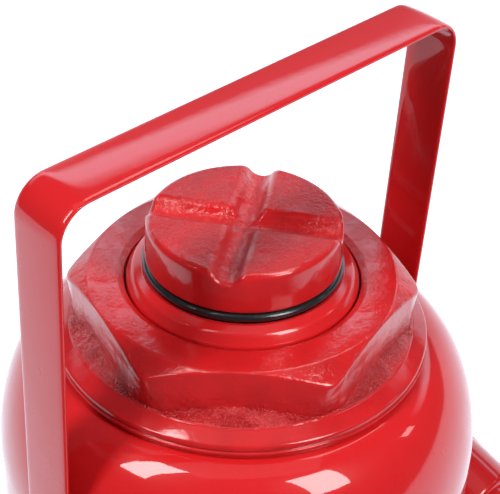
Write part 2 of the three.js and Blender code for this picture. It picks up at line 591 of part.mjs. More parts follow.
function pinClip(grip) {
  const clip = snapRing(PIN_RADIUS - 0.8, PIN_RADIUS + 3.4, 1.2, 80);
  return clip.rotateY(Math.PI / 2).translate(grip + 1.1, 0, 0);
}

// ---------------------------------------------------------------- valves and plugs
// A coil spring along +Z with its wire ends closed.
class Coil extends THREE.Curve {
  constructor(radius, bottom, top, turns) {
    super();
    Object.assign(this, { radius, bottom, top, turns });
  }
  getPoint(t, target = new THREE.Vector3()) {
    const angle = t * this.turns * Math.PI * 2;
    const z = this.bottom + (this.top - this.bottom) * t;
    return target.set(this.radius * Math.cos(angle), this.radius * Math.sin(angle), z);
  }
}

function coilSpring(radius, wire, bottom, top, turns) {
  const section = new THREE.Shape().absarc(0, 0, wire, 0, Math.PI * 2);
  const extrudePath = new Coil(radius, bottom + wire, top - wire, turns);
  return new THREE.ExtrudeGeometry(section, { steps: turns * 9, curveSegments: 3, extrudePath });
}

function ball(radius) {
  return new THREE.SphereGeometry(radius, SMALL, 8);
}

// The height at which a ball rests on the rim of a smaller hole.
function seated(ballRadius, holeRadius) {
  return Math.sqrt(ballRadius ** 2 - holeRadius ** 2) + 0.02;
}

function releaseScrew() {
  // along +Z, out of the casting; zero is the plane of the ball's seat
  const nose = 7.8;
  const stem = RELEASE_SEAT_Y - RELEASE_BOSS_Y + 26;
  const ringAt = 27;
  const body = turned([
    [0, nose], [2.6, nose], [4.8, nose + 3], [4.8, nose + 9], [8, nose + 10], [8, ringAt],
    [5.8, ringAt], [5.8, ringAt + 2.6], [8, ringAt + 2.6], [8, 36], [6, 37], [6, stem - 1.2], [4.8, stem], [0, stem],
  ], ROUND);
  return cut(body, rod(3.3, [-20, 0, stem - 8], [20, 0, stem - 8]));
}

function socketPlug(radius, length, keyAcrossFlats) {
  const body = turned([[0, 0], [radius - 0.5, 0], [radius, 0.6], [radius, length - 0.5], [radius - 0.5, length],
    [0, length]], SMALL);
  return cut(body, hexPrism(keyAcrossFlats, length - 3.4, length + 1));
}

function headedPlug(spigotRadius, spigotLength, acrossFlats, headHeight) {
  const spigot = turned([
    [0, -spigotLength], [spigotRadius - 0.6, -spigotLength], [spigotRadius, 0.6 - spigotLength],
    [spigotRadius, 0.5], [0, 0.5],
  ], SMALL);
  return join(spigot, hexHead(acrossFlats, 0, headHeight, false, true));
}

// ---------------------------------------------------------------- finishes
function finish(color, roughness, metalness) {
  return () => new THREE.MeshStandardMaterial({ color, roughness, metalness });
}

const redEnamel = finish(0xc8141c, 0.22, 0.05);
const castRed = finish(0xbb1a20, 0.4, 0.05);
const blackSteel = finish(0x1c1d1e, 0.28, 0.8);
const groundSteel = finish(0xb9bcc0, 0.25, 1);
const zincSteel = finish(0xa9abad, 0.35, 1);
const bronze = finish(0xa9793c, 0.35, 1);
const copper = finish(0xb4693f, 0.35, 1);
const rubber = finish(0x151515, 0.75, 0);
const polyurethane = finish(0x2d5b8c, 0.5, 0);
const springSteel = finish(0x8d8f92, 0.3, 1);

// ---------------------------------------------------------------- assembly
function group(parent, position = [0, 0, 0], rotation = [0, 0, 0]) {
  const node = new THREE.Group();
  node.position.set(...position);
  node.rotation.set(...rotation);
  parent.add(node);
  return node;
}

function add(parent, name, geometry, material, position = [0, 0, 0], rotation = [0, 0, 0]) {
  const mesh = new THREE.Mesh(closed(geometry), material());
  mesh.name = name;
  mesh.position.set(...position);
  mesh.rotation.set(...rotation);
  parent.add(mesh);
}

const OUT_OF_FRONT = [Math.PI / 2, 0, 0]; // turns +Z to -Y
const OUT_OF_BACK = [-Math.PI / 2, 0, 0]; // turns +Z to +Y
const OUT_OF_RIGHT = [0, Math.PI / 2, 0]; // turns +Z to +X
const OUT_OF_LEFT = [0, -Math.PI / 2, 0]; // turns +Z to -X

function addReservoir(jack) {
  add(jack, "base_casting", baseCasting(), castRed);
  add(jack, "reservoir_tank", reservoirTank(), redEnamel);
  const lap = TANK_RADIUS - TANK_WALL - 0.3;
  add(jack, "tank_base_gasket", ring(lap, TANK_RADIUS - 0.3, SKIRT_TOP + 0.1, SKIRT_TOP + 1.7, FINE), rubber);
  const lip = [CYLINDER_RADIUS + 1.4, FLANGE_RADIUS + 0.5];
  add(jack, "tank_top_seal", ring(...lip, DOME_TOP + 0.1, FLANGE_BOTTOM - 0.1, FINE), rubber);
  add(jack, "filler_plug", fillerPlug(), rubber, [0, TANK_RADIUS, FILLER_Z], OUT_OF_BACK);
  const cup = turned([[0, 3.4], [3.6, 3.4], [3.6, 0], [5.4, 0], [5.4, 4.6], [4.4, 5.6], [0, 5.6]], SMALL);
  add(jack, "suction_strainer", cup, bronze, [ANNULUS_RADIUS, 0, RESERVOIR_FLOOR + 0.1]);
}

function addCylinder(jack) {
  add(jack, "cylinder_tube", cylinderTube(), groundSteel);
  const gasket = ring(CYLINDER_BORE + 1, CYLINDER_RADIUS - 0.5, CYLINDER_SEAT + 0.1, CYLINDER_SEAT + 2.1, FINE);
  add(jack, "cylinder_gasket", gasket, copper);
  add(jack, "top_nut", topNut(), castRed);
  add(jack, "ram_wiper", wiperSeal(), rubber);
  const bushing = [RAM_RADIUS + GAP, BUSHING.groove - GAP, SPIGOT_BOTTOM + 1, BUSHING.top - GAP];
  add(jack, "ram_guide_bushing", ring(...bushing, FINE), bronze);
}

function addRam(jack) {
  add(jack, "ram", ramBody(), redEnamel);
  add(jack, "piston_cup_seal", pistonCup(), polyurethane);
  const backup = [CUP_GROOVE.radius + 0.1, CYLINDER_BORE - 0.15, CUP_GROOVE.bottom + 5.4, CUP_GROOVE.top - 0.1];
  add(jack, "piston_backup_ring", ring(...backup, FINE), rubber);
  const wear = [WEAR_GROOVE.radius + 0.1, CYLINDER_BORE - 0.1, WEAR_GROOVE.bottom + 0.1, WEAR_GROOVE.top - 0.1];
  add(jack, "piston_wear_ring", ring(...wear, FINE), bronze);
  add(jack, "extension_screw", extensionScrew(), blackSteel);
  add(jack, "saddle", saddleCap(), castRed);
  const clip = snapRing(SADDLE_NECK - 1.5, SADDLE_NECK + 1.9, 1.4, 40);
  add(jack, "saddle_snap_ring", clip, springSteel, [0, 0, SNAP_RING.bottom + GAP]);
}

function addHandle(jack) {
  add(jack, "carry_handle", carryHandle(), redEnamel, [0, PIVOT.y, PIVOT.z], [HANDLE_LEAN, 0, 0]);
  const seat = STRAP_INSIDE + STRAP_THICKNESS + GAP;
  for (const [side, facing, sign] of [["left", OUT_OF_LEFT, -1], ["right", OUT_OF_RIGHT, 1]]) {
    const bolt = hexBolt(PIVOT.shank, 17, 16, 6.4);
    add(jack, `handle_pivot_bolt_${side}`, bolt, zincSteel, [sign * seat, PIVOT.y, PIVOT.z], facing);
  }
}

function addPump(jack) {
  const pump = group(jack, [PUMP.x, PUMP.y, 0]);
  add(pump, "pump_cylinder", pumpCylinder(), blackSteel);
  add(pump, "pump_gasket", ring(7, 12.9, PUMP_CHAMBER_TOP + 0.1, PUMP_CHAMBER_TOP + 2.1, ROUND), copper);
  add(pump, "pump_wiper", ring(PLUNGER_RADIUS + GAP, 11, PUMP_TOP - 5.8, PUMP_TOP - 2.7, ROUND), rubber);
  add(pump, "pump_plunger", pumpPlunger(), groundSteel);
  add(pump, "plunger_seal", ring(5.8, PLUNGER_RADIUS + 0.1, 54.2, 58.8, ROUND), polyurethane);
  const lever = group(pump, [0, 0, PUMP_PIN_Z], [SOCKET_DROOP, 0, 0]);
  add(lever, "pump_lever", pumpLever(), castRed);
  add(lever, "handle_socket", handleSocket(), redEnamel);
  const grip = CHEEK.outer + 0.3;
  for (const [name, y, z] of [["plunger_pin", 0, 0], ["fulcrum_pin", FULCRUM.x, FULCRUM.y]]) {
    add(lever, name, clevisPin(grip), zincSteel, [0, y, z]);
    add(lever, `${name}_clip`, pinClip(grip), springSteel, [0, y, z]);
  }
  const fulcrumY = LEVER_ARM * Math.cos(LEVER_REST_RISE);
  const lean = -Math.asin((fulcrumY - LINK_PIN.x) / LINK_REACH);
  add(pump, "fulcrum_link", fulcrumLink(), castRed, [0, ...LINK_PIN], [lean, 0, 0]);
  add(pump, "link_pin", clevisPin(18), zincSteel, [0, ...LINK_PIN]);
  add(pump, "link_pin_clip", pinClip(18), springSteel, [0, ...LINK_PIN]);
}

function addReleaseValve(jack) {
  const valve = group(jack, [RELEASE_X, RELEASE_SEAT_Y, PRESSURE_GALLERY_Z], OUT_OF_FRONT);
  add(valve, "release_ball", ball(4), groundSteel, [0, 0, seated(4, 2) + 0.05]);
  add(valve, "release_screw", releaseScrew(), blackSteel);
  const oRing = turned(arc([6.95, 28.3], [1.0, 1.0], 0, 360, 6), ROUND);
  add(valve, "release_oring", oRing, rubber);
  const face = RELEASE_SEAT_Y - RELEASE_BOSS_Y + 0.3;
  const nut = cut(hexHead(24, face, face + 8), rod(6.4, [0, 0, face - 1], [0, 0, face + 10], ROUND));
  add(valve, "release_gland_nut", nut, zincSteel);
  const crossAt = RELEASE_SEAT_Y - RELEASE_BOSS_Y + 18;
  add(valve, "release_cross_pin", rod(3, [-15, 0, crossAt], [15, 0, crossAt]), zincSteel);
}

function addCheckValves(jack) {
  const inlet = [PUMP.x, 0, INLET_SEAT_Z];
  add(jack, "inlet_ball", ball(4), groundSteel, [inlet[0], 0, INLET_SEAT_Z + seated(4, 2.2)]);
  add(jack, "inlet_ball_retainer", ring(2.6, 6, 10, 11.5, SMALL), zincSteel, inlet);
  const delivery = group(jack, [PUMP.x, VALVE_Y, DELIVERY_SEAT_Z]);
  const lift = seated(4.5, 2.5);
  add(delivery, "delivery_ball", ball(4.5), groundSteel, [0, 0, lift]);
  add(delivery, "delivery_spring", coilSpring(3.1, 0.55, lift + 4.6, 20.4, 4), springSteel);
  add(delivery, "delivery_plug", headedPlug(6.8, 8.4, 17, 6), zincSteel, [0, 0, 29.2]);
  const safety = group(jack, [SAFETY_X, VALVE_Y, SAFETY_SEAT_Z]);
  const rest = seated(2.5, 1.8);
  add(safety, "safety_ball", ball(2.5), groundSteel, [0, 0, rest]);
  const pusher = turned([[0, 0], [2, 0], [4.9, 1.2], [4.9, 2.4], [0, 2.4]], SMALL);
  add(safety, "safety_pusher", pusher, zincSteel, [0, 0, rest + 2.6]);
  add(safety, "safety_spring", coilSpring(3.6, 0.7, rest + 5.1, 14.6, 3), springSteel);
  add(safety, "safety_screw", socketPlug(5.3, 5, 4), zincSteel, [0, 0, 14.8]);
  add(safety, "safety_cap", headedPlug(5.2, 2.6, 14, 5), zincSteel, [0, 0, 23.2]);
}

function addPlugs(jack) {
  const front = -FOOT.halfDepth + BODY_INSET;
  const side = FOOT.right - BODY_INSET;
  const plug = () => socketPlug(5, 7.5, 5);
  add(jack, "front_gallery_plug", plug(), zincSteel, [PUMP.x, front + 8, CROSS_GALLERY_Z], OUT_OF_FRONT);
  add(jack, "side_gallery_plug", plug(), zincSteel, [side - 8, VALVE_Y, PRESSURE_GALLERY_Z], OUT_OF_RIGHT);
  const small = socketPlug(2.6, 6, 2.4);
  add(jack, "suction_gallery_plug", small, zincSteel, [FOOT.right - 6.8, 0, SUCTION_Z], OUT_OF_RIGHT);
}

const jack = new THREE.Group();
addReservoir(jack);
addCylinder(jack);
addRam(jack);
addHandle(jack);
addPump(jack);
addReleaseValve(jack);
addCheckValves(jack);
addPlugs(jack);

export default jack;
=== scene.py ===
"""A 50-ton class hydraulic bottle jack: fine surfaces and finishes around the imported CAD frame.

Shapes are worked out in millimetres on the jack's own axes and written to Blender in metres.
"""
import json
import math

import bmesh
import bpy
import numpy as np
import openvdb
from mathutils import Matrix, Vector


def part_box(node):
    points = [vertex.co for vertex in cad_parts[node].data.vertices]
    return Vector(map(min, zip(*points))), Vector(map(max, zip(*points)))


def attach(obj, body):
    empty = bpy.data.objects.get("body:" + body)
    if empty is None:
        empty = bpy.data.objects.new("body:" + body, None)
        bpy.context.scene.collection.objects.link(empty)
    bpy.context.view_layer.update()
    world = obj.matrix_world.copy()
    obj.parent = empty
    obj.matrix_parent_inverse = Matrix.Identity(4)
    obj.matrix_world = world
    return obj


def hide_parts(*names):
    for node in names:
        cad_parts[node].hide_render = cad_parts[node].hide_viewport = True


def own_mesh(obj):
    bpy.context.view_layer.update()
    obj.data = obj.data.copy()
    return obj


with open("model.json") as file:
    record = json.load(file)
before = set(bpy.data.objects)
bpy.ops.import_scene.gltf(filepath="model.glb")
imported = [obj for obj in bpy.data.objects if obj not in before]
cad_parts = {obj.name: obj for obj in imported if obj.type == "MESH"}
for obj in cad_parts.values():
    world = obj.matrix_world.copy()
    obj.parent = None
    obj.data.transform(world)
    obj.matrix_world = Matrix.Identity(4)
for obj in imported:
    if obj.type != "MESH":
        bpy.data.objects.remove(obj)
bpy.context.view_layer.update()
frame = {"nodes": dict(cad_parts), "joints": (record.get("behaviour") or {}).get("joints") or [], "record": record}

MM = 0.001
JOINTS = {joint["name"]: joint for joint in frame["joints"]}


def span(node):
    """A CAD node's lowest and highest corners in millimetres."""
    low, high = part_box(node)
    return np.array(low) / MM, np.array(high) / MM


def middle(node):
    low, high = span(node)
    return (low + high) / 2


def pivot(joint):
    """A point on a joint's axis in millimetres."""
    return np.array(JOINTS[joint]["pos_m"]) / MM


# ------ sizes and places
TANK_LOW, TANK_HIGH = span("reservoir_tank")
TANK_RADIUS = TANK_HIGH[0]
TANK_WALL = 3.0
TANK_MOUTH = 58.4  # where the shoulder's curve ends
DOME_TOP = TANK_HIGH[2]
NUT_LOW, NUT_HIGH = span("top_nut")
NUT_TOP = NUT_HIGH[2]
FLANGE_RADIUS = NUT_HIGH[0]
ACROSS_FLATS = 99.0  # of the nut's hexagon
HEX_TURN = math.radians(13)
RAM_LOW, RAM_HIGH = span("ram")
RAM_RADIUS = 37.0
RAM_BORE = 30.9  # the thread's crest inside the ram
SCREW_LOW, SCREW_HIGH = span("extension_screw")
SCREW_RADIUS = SCREW_HIGH[0]
SADDLE_LOW, SADDLE_HIGH = span("saddle")
SADDLE_RADIUS = SADDLE_HIGH[0]
GROOVE_TURN = math.radians(34)  # from +X to the saddle's first groove
HANDLE_HIGH = span("carry_handle")[1]
STRAP_WIDTH = 19.0
STRAP_THICKNESS = 2.0
STRAP_BEND = 11.0  # outer radius of its two bends
HANDLE_PIVOT = pivot("handle_swing")
HANDLE_LEAN = math.radians(1.85)
LEVER_PIVOT = pivot("lever_swing")
LINK_PIVOT = pivot("link_swing")
SOCKET_DROOP = math.radians(16)
BASE_LOW, BASE_HIGH = span("base_casting")
PUMP_X = LEVER_PIVOT[0]
CHEEK = (9.4, 17.4)  # inner and outer faces of the lever's cheeks, from its middle
SOCKET_RADIUS, SOCKET_START = 14.5, 22.0
PIN_RADIUS = 5.0
HEX_CHAMFER = math.tan(math.radians(30))
ROUND_STEPS = 160  # segments round the large turned pieces
FINE_STEPS = 64  # segments round the small ones


# ------ mesh building
def linked(name, data):
    """A new object in the scene."""
    made = bpy.data.objects.new(name, data)
    bpy.context.scene.collection.objects.link(made)
    return made


def to_object(name, points, faces):
    """A smooth-shaded object from points in millimetres."""
    mesh = bpy.data.meshes.new(name)
    mesh.from_pydata((np.asarray(points) * MM).tolist(), [], [list(map(int, f)) for f in faces])
    mesh.validate()
    mesh.update()
    mesh.shade_smooth()
    return linked(name, mesh)


def clean(piece, crease=math.radians(38)):
    """Merges repeated points, faces the surface outwards and keeps its hard edges crisp."""
    work = bmesh.new()
    work.from_mesh(piece.data)
    bmesh.ops.remove_doubles(work, verts=work.verts, dist=1e-7)
    bmesh.ops.dissolve_degenerate(work, edges=work.edges, dist=1e-8)
    bmesh.ops.recalc_face_normals(work, faces=work.faces)
    for edge in work.edges:
        if len(edge.link_faces) == 2 and edge.calc_face_angle(0) > crease:
            edge.smooth = False
    work.to_mesh(piece.data)
    work.free()
    return piece


def skin(name, rings, around=True, looped=False, capped=False, crease=math.radians(38)):
    """A surface over rings of points.

    Each ring may close around on itself, the last ring may be looped to the first, or both be capped."""
    count = len(rings[0])
    faces = []
    for i in range(len(rings) if looped else len(rings) - 1):
        here, there = i * count, (i + 1) % len(rings) * count
        for j in range(count if around else count - 1):
            k = (j + 1) % count
            faces.append((here + j, there + j, there + k, here + k))
    if capped:
        faces += [range(count), range((len(rings) - 1) * count, len(rings) * count)]
    return clean(to_object(name, np.concatenate(rings), faces), crease)


def finished(piece, node, slot, material=None):
    """The piece takes a CAD node's place on the body that the node rides on, in its slot's finish."""
    bodies = frame["record"]["behaviour"]["bodies"]
    body = next(name for name, members in bodies.items() if node in members)
    piece.data.materials.clear()
    piece.data.materials.append(material or FINISHES[slot])
    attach(piece, body)
    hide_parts(node)


def fillet(corners, closed=False, steps=5):
    """Points of a profile whose corners are (across, along, radius)."""
    points = []
    count = len(corners)
    for i, (across, along, radius) in enumerate(corners):
        corner = np.array([across, along], float)
        if radius <= 0 or (not closed and i in (0, count - 1)):
            points.append(corner)
            continue
        before = np.array(corners[i - 1][:2]) - corner
        after = np.array(corners[(i + 1) % count][:2]) - corner
        length = min(np.linalg.norm(before), np.linalg.norm(after))
        before /= np.linalg.norm(before)
        after /= np.linalg.norm(after)
        angle = math.acos(np.clip(before @ after, -1, 1))
        if angle > math.pi - 1e-3:
            points.extend([corner] * (steps + 1))
            continue
        reach = min(radius / math.tan(angle / 2), 0.49 * length)
        bow = reach * math.tan(angle / 2)
        inward = (before + after) / np.linalg.norm(before + after)
        centre = corner + inward * bow / math.sin(angle / 2)
        start = corner + before * reach - centre
        end = corner + after * reach - centre
        turn = math.pi - angle
        for k in range(steps + 1):
            swept = k / steps * turn
            spoke = (math.sin(turn - swept) * start + math.sin(swept) * end) / math.sin(turn)
            points.append(centre + spoke)
    return np.array(points)


def ellipse_arc(centre, radii, start, end, steps):
    """Sharp corners along part of an ellipse, between two angles in degrees."""
    angles = np.radians(np.linspace(start, end, steps + 1))
    return [(centre[0] + radii[0] * math.cos(a), centre[1] + radii[1] * math.sin(a), 0) for a in angles]


def hexagon_reach(angle, across_flats, corner_radius, turn):
    """Distance from the axis to a rounded hexagon's side in one direction."""
    sixth = math.radians(30)
    flat = across_flats / 2
    off_corner = abs((angle - turn + sixth) % (2 * sixth) - sixth)
    tangent = math.atan2((flat - corner_radius) * math.tan(sixth), flat)
    if sixth - off_corner <= tangent:
        return flat / math.cos(sixth - off_corner)
    centre = (flat - corner_radius) / math.cos(sixth)
    return centre * math.cos(off_corner) + math.sqrt(
        max(corner_radius ** 2 - (centre * math.sin(off_corner)) ** 2, 0))


def swung(profile, angle):
    """A profile of (across, along) points swung about Z."""
    across, along = profile.T
    return np.column_stack([across * math.cos(angle), across * math.sin(angle), along])


def turned(name, corners, steps=ROUND_STEPS, reach=None, closed=False, place=Matrix(), arc_steps=5):
    """A turned piece. Its corners may depend on the reach of a hexagon in each direction."""
    rings = []
    for angle in np.linspace(0, 2 * math.pi, steps, endpoint=False):
        here = corners(reach(angle)) if reach else corners
        ring = swung(fillet(here, closed, arc_steps), angle)
        rings.append(ring @ np.array(place.to_3x3()).T + np.array(place.translation))
    return skin(name, rings, around=closed, looped=True)


def placed(origin, along=(0, 0, 1)):
    """Turns +Z to a direction and moves to a point in millimetres."""
    turn = Vector((0, 0, 1)).rotation_difference(Vector(along))
    return Matrix.Translation(Vector(origin)) @ turn.to_matrix().to_4x4()


# ------ solid fields, negative inside
def both(first, second, radius=0.0):
    """Where two fields overlap, with a rounded outer edge."""
    if radius == 0:
        return np.maximum(first, second)
    corner = np.hypot(np.maximum(first + radius, 0), np.maximum(second + radius, 0))
    return np.minimum(np.maximum(first, second), -radius) + corner


def either(first, second, radius=0.0):
    """Two fields joined, with a filled inner corner."""
    return -both(-first, -second, radius)


def without(first, second, radius=0.0):
    return both(first, -second, radius)


def between(value, low, high):
    return np.maximum(low - value, value - high)


def disc(u, v, radius, centre=(0, 0)):
    return np.hypot(u - centre[0], v - centre[1]) - radius


def capsule(u, v, first, first_radius, second, second_radius):
    """The outline round two circles, as a field in two coordinates."""
    first, second = np.array(first, float), np.array(second, float)
    axis = second - first
    length = np.linalg.norm(axis)
    along = ((u - first[0]) * axis[0] + (v - first[1]) * axis[1]) / length
    across = np.abs((u - first[0]) * axis[1] - (v - first[1]) * axis[0]) / length
    slope = (first_radius - second_radius) / length
    share = np.clip((along + across * slope / math.sqrt(1 - slope ** 2)) / length, 0, 1)
    radius = first_radius + (second_radius - first_radius) * share
    return np.hypot(along - share * length, across) - radius


def rounded_rectangle(u, v, low, high, corner):
    """low and high are the rectangle's opposite corners."""
    du = between(u, low[0] + corner, high[0] - corner)
    dv = between(v, low[1] + corner, high[1] - corner)
    return np.hypot(np.maximum(du, 0), np.maximum(dv, 0)) + np.minimum(np.maximum(du, dv), 0) - corner


def carved(name, field, low, high, cell):
    """The surface of a field inside a box: a coarse pass finds it and a fine pass follows it."""
    block = 4
    low = np.array(low, float) - 2 * cell
    counts = np.ceil((np.array(high, float) + 2 * cell - low) / (cell * block)).astype(int)
    corners = np.stack(np.meshgrid(*[np.arange(n) for n in counts], indexing="ij"), -1).reshape(-1, 3)
    rough = field(*(low + (corners * block + (block - 1) / 2) * cell).T)
    values = np.where(rough > 0, 1.0, -1.0).reshape(counts)
    for axis in range(3):
        values = values.repeat(block, axis)
    values = (values * cell * block).astype(np.float32)
    near = corners[np.abs(rough) < cell * block * 1.2]
    steps = np.stack(np.meshgrid(*[np.arange(block)] * 3, indexing="ij"), -1).reshape(-1, 3)
    index = (near[:, None, :] * block + steps[None]).reshape(-1, 3)
    values[tuple(index.T)] = field(*(low + index * cell).T)
    grid = openvdb.FloatGrid(float(cell * block))
    grid.copyFromArray(values)
    points, quads = grid.convertToQuads(isovalue=0.0)
    points = low + points.astype(float) * cell
    step = 0.05
    for _ in range(2):
        value = field(*points.T)
        slope = np.stack([field(*(points + shift).T) - field(*(points - shift).T)
                          for shift in np.eye(3) * step], -1) / (2 * step)
        scale = np.maximum((slope ** 2).sum(-1), 0.25)
        move = np.clip(value / scale, -cell / 2, cell / 2)
        points -= slope * move[:, None]
    return clean(to_object(name, points, quads), math.radians(60))


# ------ materials
class Graph:
    """A node tree that is built step by step."""

    def __init__(self, tree):
        self.nodes = tree.nodes
        self.links = tree.links
        self.place = self.nodes.new("ShaderNodeTexCoord").outputs["Object"]

    def node(self, kind, inputs=None, **settings):
        made = self.nodes.new(kind)
        for key, value in settings.items():
            setattr(made, key, value)
        for key, value in (inputs or {}).items():
            if isinstance(value, bpy.types.NodeSocket):
                self.links.new(value, made.inputs[key])
            else:
                made.inputs[key].default_value = value
        return made

    def noise(self, size, detail=2.0, roughness=0.5, stretch=None):
        """Cloudy noise whose features are about size millimetres across."""
        place = self.place
        if stretch:
            place = self.node("ShaderNodeMapping", {"Vector": place, "Scale": stretch}).outputs["Vector"]
        inputs = {"Vector": place, "Scale": 1 / (size * MM), "Detail": detail, "Roughness": roughness}
        return self.node("ShaderNodeTexNoise", inputs).outputs["Fac"]

    def math(self, operation, first, second=0.5):
        return self.node("ShaderNodeMath", {0: first, 1: second}, operation=operation).outputs[0]

    def times(self, first, second):
        return self.math("MULTIPLY", first, second)

    def along(self, vector, direction):
        inputs = {0: vector, 1: direction}
        return self.node("ShaderNodeVectorMath", inputs, operation="DOT_PRODUCT").outputs["Value"]

    def remap(self, value, low, high, to_low=0.0, to_high=1.0):
        inputs = {"Value": value, "From Min": low, "From Max": high, "To Min": to_low, "To Max": to_high}
        return self.node("ShaderNodeMapRange", inputs).outputs["Result"]

    def mix(self, share, first, second):
        """The first colour where share is 0, and the second where it is 1."""
        made = self.node("ShaderNodeMix", {"Factor": share}, data_type="RGBA")
        for key, colour in (("A", first), ("B", second)):
            if isinstance(colour, bpy.types.NodeSocket):
                self.links.new(colour, made.inputs[key])
            else:
                made.inputs[key].default_value = (*colour, 1)
        return made.outputs["Result"]

    def ray(self):
        """The direction from a ray's end back to its start, and the flags that say what kind it is."""
        incoming = self.node("ShaderNodeNewGeometry").outputs["Incoming"]
        return incoming, self.node("ShaderNodeLightPath").outputs


class Paint(Graph):
    """A node material with one Principled surface."""

    def __init__(self, name, colour, roughness, metallic=0.0):
        self.material = bpy.data.materials.new(name)
        self.material.use_nodes = True
        super().__init__(self.material.node_tree)
        self.surface = self.nodes["Principled BSDF"]
        self.put({"Base Color": (*colour, 1), "Roughness": roughness, "Metallic": metallic})
        self.colour = colour

    def put(self, values):
        for key, value in values.items():
            self.surface.inputs[key].default_value = value

    def shade(self, mask, dark, light):
        """Base colour that runs between two shares of the paint's own colour."""
        tone = self.mix(mask, [c * dark for c in self.colour], [min(c * light, 1) for c in self.colour])
        self.links.new(tone, self.surface.inputs["Base Color"])
        return tone

    def bump(self, height, distance):
        """Stacks one more relief, whose full height is distance millimetres."""
        made = self.node("ShaderNodeBump", {"Height": height, "Distance": distance * MM, "Strength": 1.0})
        before = self.surface.inputs["Normal"]
        if before.is_linked:
            self.links.new(before.links[0].from_socket, made.inputs["Normal"])
        self.links.new(made.outputs["Normal"], before)
        self.links.new(made.outputs["Normal"], self.surface.inputs["Coat Normal"])

    def rough(self, mask, low, high):
        self.links.new(self.remap(mask, 0.3, 0.7, low, high), self.surface.inputs["Roughness"])

    def slope(self):
        """0 on level faces and 1 on upright ones."""
        normal = self.node("ShaderNodeNewGeometry").outputs["Normal"]
        z = self.node("ShaderNodeSeparateXYZ", {"Vector": normal}).outputs["Z"]
        return self.math("SUBTRACT", 1.0, self.math("ABSOLUTE", z))


RED = (0.72, 0.015, 0.018)


def enamel_coat(paint, roughness):
    """A clear, sharp reflection over a soft one."""
    paint.put({"Specular IOR Level": 0.1, "Coat Weight": 1.0, "Coat Roughness": roughness})


def gloss_enamel(name, peel=0.010, gloss=0.03):
    """Smooth sprayed enamel with a faint orange peel."""
    paint = Paint(name, RED, 0.3)
    paint.shade(paint.noise(40, 3), 0.95, 1.04)
    paint.bump(paint.noise(2.6, 1.5), peel)
    paint.bump(paint.noise(11, 1), peel * 2.4)
    paint.rough(paint.noise(12, 4), 0.26, 0.36)
    enamel_coat(paint, gloss)
    return paint.material


def cast_enamel(name, grain, wrinkle, level, steep=1.0, rim=None, top=None, gloss=0.12, dirt=0.4):
    """The same enamel over a sand-cast skin of grain and wrinkles, both heights in millimetres.

    level and steep are the grain's shares on level and sloping faces. It ends at the rim, a distance
    from the jack's axis, and fades above the top, a height. Where it is strong, the paint is dull."""
    paint = Paint(name, RED, 0.3)
    tilt = paint.slope()
    upright = paint.remap(tilt, 0.6, 0.95, 1.0, 0.35)
    slope = paint.times(paint.remap(tilt, 0.02, 0.13, level, steep), upright)
    patch = paint.remap(paint.noise(9, 2), 0.36, 0.58, 0.3, 1.0)
    mask = paint.times(slope, patch)
    if rim:
        flat = paint.node("ShaderNodeVectorMath", {0: paint.place, 1: (1, 1, 0)}, operation="MULTIPLY")
        away = paint.node("ShaderNodeVectorMath", {0: flat.outputs[0]}, operation="LENGTH")
        inside = paint.remap(away.outputs["Value"], rim * MM, (rim + 0.8) * MM, 1, 0.04)
        mask = paint.times(mask, inside)
    if top:
        height = paint.node("ShaderNodeSeparateXYZ", {"Vector": paint.place}).outputs["Z"]
        below = paint.remap(height, top * MM, (top + 4) * MM, 1, 0.2)
        mask = paint.times(mask, below)
    dull = paint.times(mask, dirt)
    paint.shade(paint.math("SUBTRACT", paint.noise(11, 4), dull), 0.66, 1.12)
    coarse = paint.times(paint.noise(1.5, 3, 0.65), mask)
    sand = paint.times(paint.noise(0.7, 2, 0.6), mask)
    paint.bump(coarse, grain)
    paint.bump(sand, grain * 0.4)
    paint.bump(paint.noise(5.5, 2, 0.5), wrinkle * 3)
    paint.bump(paint.noise(18, 2), wrinkle * 6)
    paint.rough(paint.noise(5, 4), 0.26, 0.42)
    enamel_coat(paint, gloss)
    paint.links.new(paint.remap(mask, 0.2, 1, 1, 0.45), paint.surface.inputs["Coat Weight"])
    return paint.material


def steel(name, colour, roughness, grain=0.3, brushed=(1, 1, 12), dirt=0.8):
    """Machined or plated steel with fine tool marks."""
    paint = Paint(name, colour, roughness, 1.0)
    marks = paint.noise(grain, 3, 0.6, brushed)
    paint.shade(paint.noise(9, 5), dirt, 1.08)
    paint.rough(paint.noise(4, 4), roughness * 0.75, roughness * 1.35)
    paint.bump(marks, 0.012)
    return paint.material


def black_oxide(name):
    """Oiled black steel, a little greyer where it is handled."""
    paint = Paint(name, (0.009, 0.009, 0.010), 0.2)
    paint.shade(paint.noise(2.4, 5, 0.7), 0.6, 2.6)
    paint.rough(paint.noise(3, 4), 0.14, 0.3)
    paint.bump(paint.noise(0.8, 3, 0.6, (1, 1, 8)), 0.006)
    paint.put({"Coat Weight": 0.3, "Coat Roughness": 0.08})
    return paint.material


def rubber(name, colour=(0.018, 0.018, 0.019)):
    paint = Paint(name, colour, 0.6)
    paint.shade(paint.noise(3, 4), 0.8, 1.4)
    paint.bump(paint.noise(0.35, 2), 0.02)
    paint.rough(paint.noise(2, 3), 0.45, 0.7)
    return paint.material


